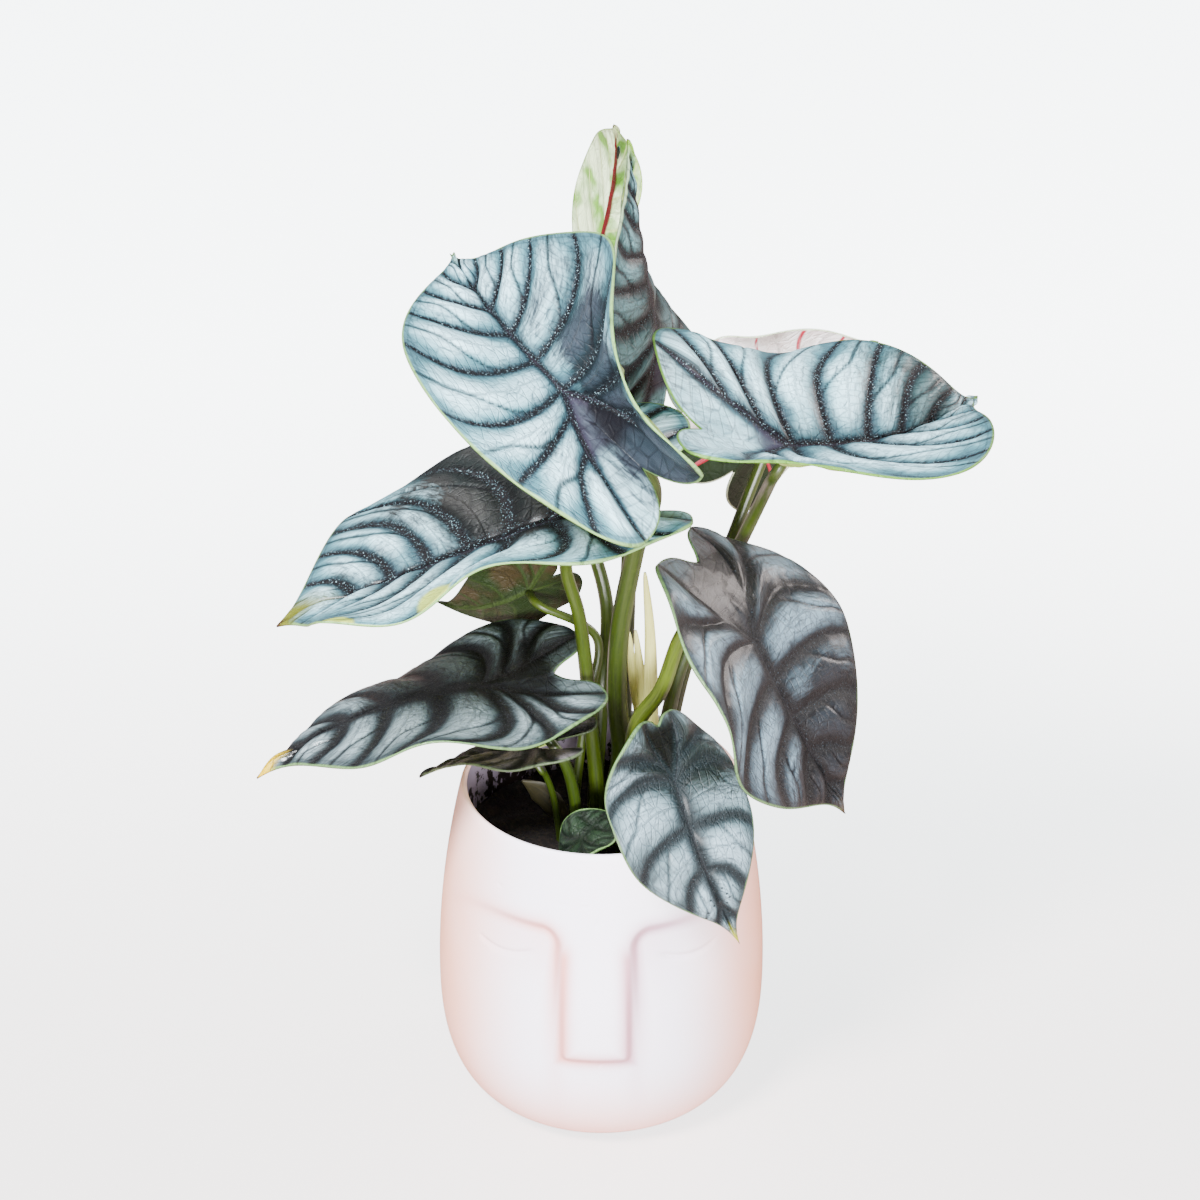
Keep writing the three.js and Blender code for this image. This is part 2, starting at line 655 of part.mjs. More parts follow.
function potGeometry() {
  const feet = [0, 1, 4, 9, 17, 27, 37, 47, 54, 56.4, 58.8];
  const face = [66, 75, 85, 95, 104, 111, 116, 119.8, 122.4, 125, 129, 136, 145, 152, 156];
  const outer = [...feet, ...face].map((z) => (angle) => [potRadius(z) + faceRelief(angle, z), z]);
  const rim = [[62.7, 157.4], [61.7, 158], [60.7, 157.5]].map((p) => () => p);
  const inner = cavity.map((p) => () => p);
  return turnedGeometry([() => [0, 0], ...outer, ...rim, ...inner, () => [0, floorHeight]]);
}

function soilLevel(x, y) {
  const rings = 1.1 * Math.sin(0.21 * x + 0.6) * Math.cos(0.17 * y) + 0.7 * Math.sin(0.11 * x - 0.37 * y);
  return soilHeight - 2 + rings;
}

function soilGeometry() {
  const floor = () => [0, floorHeight + gap];
  const below = cavity.slice(cavityHeights.indexOf(soilHeight)).reverse();
  const side = below.map(([r, z]) => () => [r - gap, Math.min(soilHeight, z + gap)]);
  const top = [56, 44, 31, 17].map((r) => (angle) => {
    const phi = rad(angle + faceTurn);
    return [r, soilLevel(r * Math.sin(phi), -r * Math.cos(phi))];
  });
  return turnedGeometry([floor, ...side, ...top, () => [0, soilLevel(0, 0)]]);
}

const wasm = await Module();
wasm.setup();

function solidOf(geometry) {
  return new wasm.Manifold(
    new wasm.Mesh({
      numProp: 3,
      vertProperties: geometry.getAttribute("position").array,
      triVerts: new Uint32Array(geometry.index.array),
    }),
  );
}

function geometryOf(solid) {
  const mesh = solid.getMesh();
  const geometry = new THREE.BufferGeometry();
  geometry.setAttribute("position", new THREE.BufferAttribute(mesh.vertProperties, 3));
  geometry.setIndex(new THREE.BufferAttribute(mesh.triVerts, 1));
  geometry.computeVertexNormals();
  return geometry;
}

function sheathGeometry(points, extra = 0, only = Infinity) {
  const path = smoothPath(points, 2);
  const taper = (i) => sheathRadius * (1 - i / (path.length - 1)) ** 0.6 + 0.35 + extra;
  const kept = path.slice(0, Math.min(path.length, only));
  kept[0] = add(kept[0], [0, 0, -extra]);
  return sweptGeometry(kept, kept.map((p, i) => [sheathWidth * taper(i), taper(i)]), 6, [0, -1, 0]);
}

function oldSheathGeometry(extra = 0, only = Infinity) {
  const path = smoothPath(oldSheath, 2);
  const half = (i) => mix(oldSheathHalf[Math.floor(i / 2)], oldSheathHalf[Math.ceil(i / 2)], 0.5) + extra;
  const kept = path.slice(0, Math.min(path.length, only));
  kept[0] = add(kept[0], [0, 0, -extra]);
  return sweptGeometry(kept, kept.map((p, i) => [half(i), oldSheathThick + extra]), 8, [0, -1, 0]);
}

const ceramic = new THREE.MeshStandardMaterial({ name: "pot", color: 0xe4dfe4, roughness: 0.6 });
const earth = new THREE.MeshStandardMaterial({ name: "soil", color: 0x1d1612, roughness: 1 });
const silver = new THREE.MeshStandardMaterial({ name: "leaf", color: 0x9fb0b0, roughness: 0.45 });
const green = new THREE.MeshStandardMaterial({ name: "stalk", color: 0x7d8f3f, roughness: 0.5 });
const cream = new THREE.MeshStandardMaterial({ name: "pale_sheath", color: 0xc9cf7f, roughness: 0.5 });
const withered = new THREE.MeshStandardMaterial({ name: "old_sheath", color: 0x2f3320, roughness: 0.8 });

const plant = new THREE.Group();

function put(name, geometry, material) {
  const mesh = new THREE.Mesh(geometry, material);
  mesh.name = name;
  plant.add(mesh);
}

put("pot", potGeometry(), ceramic);
let soil = solidOf(soilGeometry());
for (const leaf of leaves) {
  soil = soil.subtract(solidOf(stalkGeometry(leaf, holeGap, 4)));
  put("leaf_" + leaf.name, leafGeometry(leaf), silver);
  put("stalk_" + leaf.name, stalkGeometry(leaf), green);
}
const pale = paleSheaths.map((points) => solidOf(sheathGeometry(points)));
put("pale_sheaths", geometryOf(pale[0].add(pale[1]).add(pale[2])), cream);
for (const points of paleSheaths) {
  soil = soil.subtract(solidOf(sheathGeometry(points, holeGap, 3)));
}
put("old_sheath", oldSheathGeometry(), withered);
soil = soil.subtract(solidOf(oldSheathGeometry(holeGap, 4)));
put("soil", geometryOf(soil), earth);

export default plant;
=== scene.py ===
# A potted alocasia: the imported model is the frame, and finer pieces of the same form replace its nodes.
# Lengths in the dictionaries are millimetres, and every mesh is written in metres.
from types import SimpleNamespace
import bpy
import numpy as np
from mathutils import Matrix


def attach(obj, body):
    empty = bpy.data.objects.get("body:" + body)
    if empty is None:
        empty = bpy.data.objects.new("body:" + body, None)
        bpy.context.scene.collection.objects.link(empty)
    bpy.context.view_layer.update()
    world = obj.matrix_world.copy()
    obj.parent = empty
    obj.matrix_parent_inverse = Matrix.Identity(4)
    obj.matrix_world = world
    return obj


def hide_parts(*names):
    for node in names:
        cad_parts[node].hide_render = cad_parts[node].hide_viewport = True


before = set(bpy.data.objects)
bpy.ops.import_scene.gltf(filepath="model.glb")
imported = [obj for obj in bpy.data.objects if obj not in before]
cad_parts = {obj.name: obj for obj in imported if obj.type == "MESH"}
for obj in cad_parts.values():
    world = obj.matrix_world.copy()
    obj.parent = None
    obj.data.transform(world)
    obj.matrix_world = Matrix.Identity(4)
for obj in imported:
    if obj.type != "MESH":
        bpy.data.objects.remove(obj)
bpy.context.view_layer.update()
print("frame loaded")

mm = 0.001
farGap = 99  # the gap to a line that isn't there


def positive(v):
    return np.clip(v, 0, None)


def smooth(v):  # 3v^2 - 2v^3 on 0..1
    v = np.clip(v, 0, 1)
    return v * v * (3 - 2 * v)


def bell(v):
    return np.exp(-(v ** 2))


def mix(a, b, t):
    return a + (b - a) * t


def bezier(points, t):  # a Bezier curve by repeated mixing, for arrays of t
    row = [np.broadcast_to(np.asarray(p, float), t.shape + (len(p),)) for p in points]
    while len(row) > 1:
        row = [mix(a, b, t[..., None]) for a, b in zip(row, row[1:])]
    return row[0]


def waves3(p, scale, seed, octaves):  # lumpy noise: sums of sines along random directions
    out = np.zeros(p.shape[:-1])
    draw = np.random.default_rng(seed)
    size = 1.0
    waveCount = 5
    for _ in range(octaves):
        for _ in range(waveCount):
            way = draw.normal(size=3)
            way /= np.linalg.norm(way)
            pace = draw.uniform(0.7, 1.4)
            out += size * np.sin(p @ way * (2 * np.pi / scale) * pace + draw.uniform(0, 6.28))
        size *= 0.5
        scale *= 0.5
    return out / waveCount


def spread(shared, rows):  # each row's own values, laid over the shared ones
    return {name: SimpleNamespace(**{**shared, **own}) for name, own in rows.items()}


# Meshes are written from whole arrays, with the values that the shaders read.
def makePiece(name, points, triangles, material, replaced, attributes):
    mesh = bpy.data.meshes.new(name)
    mesh.vertices.add(len(points))
    mesh.vertices.foreach_set("co", np.asarray(points * mm, np.float32).ravel())
    mesh.loops.add(triangles.size)
    mesh.loops.foreach_set("vertex_index", triangles.astype(np.int32).ravel())
    mesh.polygons.add(len(triangles))
    mesh.polygons.foreach_set("loop_start", np.arange(0, triangles.size, 3, dtype=np.int32))
    mesh.update(calc_edges=True)
    mesh.polygons.foreach_set("use_smooth", np.full(len(triangles), True))
    for key, values in attributes.items():
        single = values.ndim == 1
        layer = mesh.attributes.new(key, "FLOAT" if single else "FLOAT_VECTOR", "POINT")
        layer.data.foreach_set("value" if single else "vector", values.astype(np.float32).ravel())
    mesh.validate()
    mesh.materials.append(material)
    piece = bpy.data.objects.new(name, mesh)
    bpy.context.scene.collection.objects.link(piece)
    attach(piece, "root")
    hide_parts(replaced)


def gridFaces(rows, columns, closed=False):  # quads of a grid, its columns closed in a ring or not
    i = np.arange(rows - 1)[:, None] * columns
    j = np.arange(columns if closed else columns - 1)[None, :]
    k = (j + 1) % columns
    return np.stack([i + j, i + k, i + columns + k, i + columns + j], -1).reshape(-1, 4)


def halved(quads):  # two triangles for each quad
    return np.concatenate([quads[:, [0, 1, 2]], quads[:, [0, 2, 3]]])


def welded(points, faces):  # merges equal points and drops the triangles that collapse
    _, first, back = np.unique(np.round(points, 7), axis=0, return_index=True, return_inverse=True)
    tri = halved(back.reshape(-1)[faces])
    good = (tri[:, 0] != tri[:, 1]) & (tri[:, 1] != tri[:, 2]) & (tri[:, 0] != tri[:, 2])
    return first, tri[good]


# Shader nodes: a socket can be added, subtracted, multiplied and divided, and each sign adds a Math node.
class Socket:
    def __init__(self, tree, output):
        self.tree, self.output = tree, output

    def math(self, operation, *values):
        return addNode(self.tree, "Math", dict(enumerate(values)), operation=operation)

    def __add__(self, other):
        return self.math("ADD", self, other)

    def __sub__(self, other):
        return self.math("SUBTRACT", self, other)

    def __rsub__(self, other):
        return self.math("SUBTRACT", other, self)

    def __mul__(self, other):
        return self.math("MULTIPLY", self, other)

    def __truediv__(self, other):
        return self.math("DIVIDE", self, other)

    def __abs__(self):
        return self.math("ABSOLUTE", self)


def fill(node, inputs):  # links the sockets and sets the plain values
    for key, value in inputs.items():
        if isinstance(value, Socket):
            value.tree.links.new(value.output, node.inputs[key])
        else:
            node.inputs[key].default_value = value


def addNode(tree, kind, inputs, output=0, **settings):
    node = tree.nodes.new("ShaderNode" + kind)
    for key, value in settings.items():
        setattr(node, key, value)
    fill(node, inputs)
    return Socket(tree, node.outputs[output])


def most(a, b):
    return a.math("MAXIMUM", a, b)


def ramp(value, low, high, outLow=0.0, outHigh=1.0, kind="SMOOTHSTEP"):
    inputs = dict(enumerate((value, low, high, outLow, outHigh)))
    return addNode(value.tree, "MapRange", inputs, interpolation_type=kind)


def fade(value, low, high):  # 1 below low, 0 above high
    return 1.0 - ramp(value, low, high)


def blend(share, a, b, kind="MIX"):
    return addNode(share.tree, "Mix", {0: share, 6: a, 7: b}, 2, data_type="RGBA", blend_type=kind)


def layers(color, *coats):  # coats: pairs of share and colour, one over the other
    for share, coat in coats:
        color = blend(share, color, coat)
    return color


def mapped(vector, scale):
    return addNode(vector.tree, "Mapping", {"Vector": vector, "Scale": scale})


def noise(vector, scale, detail, roughness=0.5, distortion=0.0):  # three scales stretch the pattern
    if isinstance(scale, tuple):
        vector, scale = mapped(vector, scale), 1.0
    return addNode(vector.tree, "TexNoise", {"Vector": vector, "Scale": scale, "Detail": detail,
                                             "Roughness": roughness, "Distortion": distortion}, "Fac")


def cells(vector, scale, **settings):
    inputs = {"Vector": mapped(vector, scale), "Scale": 1.0}
    return addNode(vector.tree, "TexVoronoi", inputs, "Distance", **settings)


def attribute(tree, name, output="Fac"):
    return addNode(tree, "Attribute", {}, output, attribute_name=name)


def bump(height, strength, distance):
    return addNode(height.tree, "Bump", {"Height": height, "Strength": strength, "Distance": distance})


def newMaterial(name):
    material = bpy.data.materials.new(name)
    material.use_nodes = True
    return material, material.node_tree, material.node_tree.nodes["Principled BSDF"]


def rgb(r, g, b):  # a colour given as 0..255 display values
    c = np.array([r, g, b]) / 255
    c = np.where(c <= 0.04045, c / 12.92, ((c + 0.055) / 1.055) ** 2.4)
    return (*c.tolist(), 1.0)


# The blade: s follows the ribs from lobe end to tip,
# t runs from the rib (0) to the margin (1) or into the notch (-1).
bladeForm = SimpleNamespace(
    hubShare=0.3, rearCrowd=0.55, widestShare=0.42, notchEnd=0.5, half=0.4, keel=1, keelFade=0.35,
    lineWidth=1.6,
    lobeHandle=0.62, riseHandle=0.58, fallHandle=0.46, tipHandle=0.3, tipWidth=0.16, notchHandle=0.25,
    footHandle=0.35, ribHandle=(0.5, 0.62), veinArch=0.4, archFade=0.3, veinTurn=(0.18, 0.7), dripStart=0.8,
    dripSpan=0.2, stations=(61, 30), rearReach=1.02, sideCrowd=0.9, veinSway=0.1, forkStart=0.22,
    forkReach=0.5,
    branchDip=0.35, panelPower=0.55, marginPower=0.6, zoneFade=0.4, lumpSize=8, lump=0.16)

leaves = spread(dict(
        rightShare=1, notch=0.62, gape=0.1, lobe=0.4, drip=0.03, hubReach=0.44, rake=1.45, rearVeins=2), {
    "upper_left": dict(
        hub=(-16, -30, 363), length=192, rear=0.38, wide=0.31, rightShare=0.98, widest=0.02, notch=0.68,
        lobe=0.54, drip=0.02, azimuth=129, rise=19, roll=-52, bendFront=36, bendRear=25, sweep=0, twist=7,
        fold=(57, 20), foldGrowth=(-11, -28), curl=(1, 29), wave=(1.5, 17.5), waves=(2.1, 1.3),
        wavePhase=(50, 30), bulge=3.8, rearVeins=3, frontVeins=6, stalkBase=5.6, stalkTop=3.2,
        route=((4, 18, 126), (9.4, 14, 162), (7, 11, 192.6), (8.2, 4, 232.8), (14.4, -5, 275.7),
               (21, -15, 313))),
    "right": dict(
        hub=(79.5, -18, 332), length=189, rear=0.37, wide=0.31, rightShare=0.92, widest=0.32, notch=0.66,
        lobe=0.6, drip=0.04, azimuth=26, rise=-13, roll=1, bendFront=-8, bendRear=-25, sweep=35, twist=-8,
        fold=(53, 0), foldGrowth=(34, 21), curl=(-47, 27), wave=(12.5, 13), waves=(0.8, 1.1),
        wavePhase=(100, 35), bulge=3.8, hubReach=0.4, rake=1.3, rearVeins=3, frontVeins=6, stalkBase=3.8,
        stalkTop=2.4,
        route=((22, 20, 126), (29.3, 22, 173), (38.5, 28, 208.7), (60.6, 34, 257.3), (70.4, 16, 292.5))),
    "left": dict(
        hub=(-22.5, -14, 294.5), length=174, rear=0.37, wide=0.34, rightShare=1.02, widest=0.84, notch=0.36,
        gape=0.8, lobe=0.46, drip=0.11, azimuth=176, rise=-24, roll=-3, bendFront=-1, bendRear=17, sweep=5,
        twist=19, fold=(6, 31), foldGrowth=(-13, 6), curl=(11, -18), wave=(6, -3), waves=(2, 1.7),
        wavePhase=(115, -65), bulge=3.6, hubReach=0.26, rake=0.85, rearVeins=3, frontVeins=6, stalkBase=4,
        stalkTop=2.4,
        route=((-3, 9, 126), (-2, 8, 147), (-5, 8, 186.6), (-7, 7, 213), (-10, 1, 242), (-15.3, -4, 267))),
    "lower_left": dict(
        hub=(-53.5, -3, 208), length=155, rear=0.33, wide=0.35, rightShare=1.02, widest=0.22, notch=0.66,
        gape=0.5, lobe=0.44, azimuth=193, rise=1, roll=9, bendFront=38, bendRear=-13, sweep=-9, twist=10,
        fold=(-19, 4), foldGrowth=(-10, 0), curl=(27, -9), wave=(5, -8), waves=(1.9, 1.4),
        wavePhase=(80, 175), bulge=2.8, hubReach=0.4, rake=1.25, rearVeins=3, frontVeins=5, stalkBase=3,
        stalkTop=2,
        route=((-10, -7, 126), (-12.6, -14, 160.9), (-18.5, -19, 183), (-32, -12, 195))),
    "top": dict(
        hub=(24.5, 62, 348), length=129, rear=0.33, wide=0.31, rightShare=0.81, widest=-0.12, notch=0.6,
        lobe=0.42, azimuth=165, rise=79, roll=-24, bendFront=-5, bendRear=5, sweep=0, twist=20,
        fold=(-8, -28), foldGrowth=(0, -52), curl=(6, 0), wave=(2, 0), waves=(2, 2), wavePhase=(0, 0),
        bulge=2.6, frontVeins=7, stalkBase=4.4, stalkTop=2.8,
        route=((9, 36, 126), (11, 50, 190), (13, 66, 250), (14, 70, 320))),
    "right_back": dict(
        hub=(77.5, 88, 291.5), length=116, rear=0.38, wide=0.34, rightShare=1.1, widest=0.14, lobe=0.48,
        azimuth=2, rise=52, roll=-90, bendFront=42, bendRear=7, sweep=2, twist=-6, fold=(27, 8),
        foldGrowth=(5, 18), curl=(11, -20), wave=(-5, -9), waves=(1.8, 2), wavePhase=(120, -60), bulge=2.4,
        frontVeins=5, stalkBase=3.6, stalkTop=2.2,
        route=((26, 30, 126), (38, 42, 190), (62, 64, 255))),
    "hanging": dict(
        hub=(65, -30, 245.5), length=158, rear=0.35, wide=0.35, widest=0.18, notch=0.78, gape=0.3,
        lobe=0.52, azimuth=-9, rise=-65, roll=23, bendFront=12, bendRear=32, sweep=19, twist=15,
        fold=(5, 3), foldGrowth=(23, 6), curl=(-20, 16), wave=(-4, -3.5), waves=(1.5, 2.6),
        wavePhase=(45, -95), bulge=2.9, hubReach=0.4, rake=1.2, frontVeins=5, stalkBase=4.2, stalkTop=2.5,
        route=((15, 4, 126), (14.5, -2, 182.2), (26.6, -8, 209.9), (35.7, -14, 241.4), (52, -14, 256))),
    "front": dict(
        hub=(31, -64, 196), length=113, rear=0.26, wide=0.31, rightShare=0.98, widest=0.08, notch=0.86,
        gape=0.3, lobe=0.36, drip=0.08, azimuth=-55, rise=-60, roll=15, bendFront=41, bendRear=1, sweep=23,
        twist=30, fold=(-5, 16), foldGrowth=(9, -4), curl=(-39, -8), wave=(1, -4), waves=(1.8, 2.1),
        wavePhase=(15, -50), bulge=2.4, hubReach=0.42, rake=1.3, frontVeins=4, stalkBase=2.8, stalkTop=2,
        route=((9, -7, 126), (15, -20, 172), (24, -42, 208))),
    "young": dict(
        hub=(-8, -36, 150), length=37, rear=0.43, wide=0.42, widest=0.06, lobe=0.5, azimuth=49, rise=32,
        roll=-6, bendFront=48, bendRear=4, sweep=0, twist=32, fold=(-3, 4), foldGrowth=(12, -2),
        curl=(-12, 0), wave=(0, -0.5), waves=(2, 2.1), wavePhase=(0, 20), bulge=1.1, frontVeins=3,
        stalkBase=1.6, stalkTop=1.3,
        route=((-5, -12, 126), (-8, -22, 139))),
    "low": dict(
        hub=(-32.5, -15, 183), length=84, rear=0.36, wide=0.33, widest=-0.02, notch=0.12, gape=0.95,
        azimuth=164, rise=-14, roll=7, bendFront=20, bendRear=-7, sweep=-1, twist=7, fold=(7, 5),
        foldGrowth=(3, 0), curl=(-3, 0), wave=(1.5, 0), waves=(2, 2), wavePhase=(5, 0), bulge=1.8,
        frontVeins=5, stalkBase=1.7, stalkTop=1.3,
        route=((-19, 2, 126), (-21.8, -2, 150.7), (-26, -8, 167.6))),
    "back_left": dict(
        hub=(-33, 48, 228.5), length=72, rear=0.29, wide=0.36, widest=-0.02, azimuth=174, rise=-35, roll=64,
        bendFront=-46, bendRear=0, sweep=4, twist=9, fold=(10, 6), foldGrowth=(0, -5), curl=(0, 4),
        wave=(0, -2), waves=(2, 2.1), wavePhase=(0, 15), bulge=1.6, frontVeins=4, stalkBase=2.4,
        stalkTop=1.8,
        route=((-13, 22, 126), (-7, 31, 175), (-2, 40, 208))),
    "top_back": dict(
        hub=(-7.5, 119, 340.5), length=157, rear=0.3, wide=0.2, rightShare=1.34, widest=0.24, drip=0,
        azimuth=189, rise=107, roll=15, bendFront=35, bendRear=0, sweep=41, twist=52, fold=(6.5, 34.5),
        foldGrowth=(28, 5), curl=(-81, -24), wave=(-9, 2), waves=(1.8, 1.9), wavePhase=(0, -25), bulge=2.2,
        frontVeins=6, stalkBase=3.8, stalkTop=2.4,
        route=((-3, 33, 126), (0.3, 40, 180.9), (2, 64, 216), (-14, 76, 262), (-40, 88, 314))),
})
for leaf in leaves.values():
    leaf.rearSpan = leaf.rear * leaf.length
    leaf.frontSpan = leaf.length - leaf.rearSpan
    leaf.halfWidth = leaf.wide * leaf.length


def outerMargin(leaf, share, width):  # two Bezier curves, lobe end to widest point and widest point to tip
    f = bladeForm
    rear, front, lobe = leaf.rearSpan, leaf.frontSpan, leaf.lobe * width
    widest = leaf.widest * front
    side, ahead = (widest, width), front - widest
    rise = [(-rear, lobe), (-rear, mix(lobe, width, f.lobeHandle)),
            (widest - f.riseHandle * (widest + rear), width), side]
    fall = [side, (widest + f.fallHandle * ahead, width),
            (front - f.tipHandle * ahead, f.tipWidth * width), (front, 0)]
    first = bezier(rise, np.clip(share / f.widestShare, 0, 1))
    second = bezier(fall, np.clip((share - f.widestShare) / (1 - f.widestShare), 0, 1))
    return np.where((share < f.widestShare)[..., None], first, second)


def innerMargin(leaf, share, width):  # the notch's curve, then the straight axis to the hub
    f = bladeForm
    end, rear, lobe = f.notchEnd, leaf.rearSpan, leaf.lobe * width
    foot = -leaf.notch * rear
    curve = [(-rear, lobe), (-rear, f.notchHandle * lobe),
             (foot - f.footHandle * (rear + foot), leaf.gape * lobe), (foot, 0)]
    first = bezier(curve, np.clip(share / end, 0, 1))
    second = np.stack([foot * (1 - np.clip(share / end - 1, 0, 1)), 0 * share], -1)
    return np.where((share < end)[..., None], first, second)


def frontShare(s):  # 0 at the hub, 1 at the tip
    return np.clip((s - bladeForm.hubShare) / (1 - bladeForm.hubShare), 0, 1)


def rearShare(s):  # 0 at the lobe's end, 1 at the hub
    return np.clip(s / bladeForm.hubShare, 0, 1)


def ribLine(leaf, s, width):  # the rear rib's curve, then the straight midrib
    rear, lobe = leaf.rearSpan, leaf.lobe * width
    back, aside = bladeForm.ribHandle
    first = bezier([(-rear, lobe), (-back * rear, aside * lobe), (0, 0)], rearShare(s) ** bladeForm.rearCrowd)
    second = np.stack([leaf.frontSpan * frontShare(s), 0 * s], -1)
    return np.where((s < bladeForm.hubShare)[..., None], first, second)


def marginShare(leaf, s):  # how far along the outer margin the vein from rib share s ends
    reach = leaf.hubReach
    ahead = reach + (1 - reach) * (1 - (1 - frontShare(s)) ** leaf.rake)
    return np.where(s < bladeForm.hubShare, reach * s / bladeForm.hubShare, ahead)


def flatPoint(leaf, s, t, half):  # a curved vein from rib to margin, a straight line into the notch
    f = bladeForm
    width = leaf.halfWidth * (leaf.rightShare if half < 0 else 1)
    front = leaf.frontSpan
    s, t = np.broadcast_arrays(np.asarray(s, float), np.asarray(t, float))
    rib = ribLine(leaf, s, width)
    margin = outerMargin(leaf, marginShare(leaf, s), width)
    arch = f.veinArch * smooth(s / f.hubShare) * (1 - smooth((s - f.hubShare) / f.archFade))
    turn = rib + (margin - rib) * f.veinTurn
    turn[..., 0] -= arch * (margin - rib)[..., 1]
    a = np.clip(t, 0, 1)[..., None]
    outer = (1 - a) ** 2 * rib + 2 * a * (1 - a) * turn + a * a * margin
    inner = mix(rib, innerMargin(leaf, rearShare(s), width), np.clip(-t, 0, 1)[..., None])
    point = np.where((t < 0)[..., None], inner, outer)
    drip = np.clip((point[..., 0] - f.dripStart * front) / (f.dripSpan * front), 0, 1)
    return np.stack([point[..., 0] + leaf.drip * leaf.length * drip ** 3, point[..., 1]], -1)


def hubFrame(leaf):  # rows: along the midrib, to the left, up from the blade
    a, e, r = np.radians([leaf.azimuth, leaf.rise, leaf.roll])
    along = np.array([np.cos(e) * np.cos(a), np.cos(e) * np.sin(a), np.sin(e)])
    level = np.array([-np.sin(a), np.cos(a), 0])
    up = np.cross(along, level)
    return np.stack([along, level * np.cos(r) + up * np.sin(r), up * np.cos(r) - level * np.sin(r)])


def bentRib(leaf):  # the midrib's stations: pitch, yaw and roll grow evenly from the hub
    base = hubFrame(leaf)
    rear = bladeForm.rearReach * leaf.rearSpan
    aheadCount, behindCount = bladeForm.stations

    def run(end, count, span, bend, sweep):
        x = np.linspace(0, end, count)
        pitch, yaw, roll = (np.radians(turn) * x / span for turn in (-bend, sweep, leaf.twist))
        along = np.stack([np.cos(yaw) * np.cos(pitch), np.sin(yaw) * np.cos(pitch), np.sin(pitch)], -1)
        left = np.stack([-np.sin(yaw), np.cos(yaw), 0 * yaw], -1)
        up = np.cross(along, left)
        c, s = np.cos(roll)[:, None], np.sin(roll)[:, None]
        axes = np.stack([along, left * c + up * s, up * c - left * s], 1) @ base
        middle = (axes[1:, 0] + axes[:-1, 0]) / 2 * np.diff(x)[:, None]
        return x, np.concatenate([np.zeros((1, 3)), np.cumsum(middle, 0)]), axes

    tip = leaf.frontSpan + leaf.drip * leaf.length
    ahead = run(tip, aheadCount, leaf.frontSpan, leaf.bendFront, leaf.sweep)
    behind = run(-rear, behindCount, rear, leaf.bendRear, 0)
    return [np.concatenate([b[::-1], a[1:]]) for a, b in zip(ahead, behind)]


def bentPoint(leaf, flat, half):  # folds and curls each half about the bent midrib, and waves its margin
    xs, places, axes = bentRib(leaf)
    x, eta = flat[..., 0], np.abs(flat[..., 1])
    between = lambda table: np.stack([np.interp(x, xs, table[:, k]) for k in range(3)], -1)
    unit = lambda v: v / np.linalg.norm(v, axis=-1, keepdims=True)
    own = lambda pair: pair[0 if half > 0 else 1]
    at, left, up = between(places), unit(between(axes[:, 1])), unit(between(axes[:, 2]))
    start = np.radians(own(leaf.fold) + own(leaf.foldGrowth) * x / leaf.frontSpan)
    turn = np.radians(own(leaf.curl)) / leaf.halfWidth
    chord = eta * np.sinc(turn * eta / 2 / np.pi)
    end = start + turn * eta
    phase = 2 * np.pi * own(leaf.waves) * (x + leaf.rearSpan) / leaf.length + np.radians(own(leaf.wavePhase))
    wave = own(leaf.wave) * (eta / leaf.halfWidth) ** 2 * np.sin(phase)
    outwards = half * (chord * np.cos(start + turn * eta / 2) - wave * np.sin(end))
    upwards = chord * np.sin(start + turn * eta / 2) + wave * np.cos(end)
    return np.asarray(leaf.hub) + at + left * outwards[..., None] + up * upwards[..., None]


def veinCount(leaf, s):  # grows by one from each side vein to the next
    rear, hub = leaf.rearVeins, bladeForm.hubShare
    return np.where(s < hub, rear * s / hub, rear + leaf.frontVeins * (s - hub) / (1 - hub))


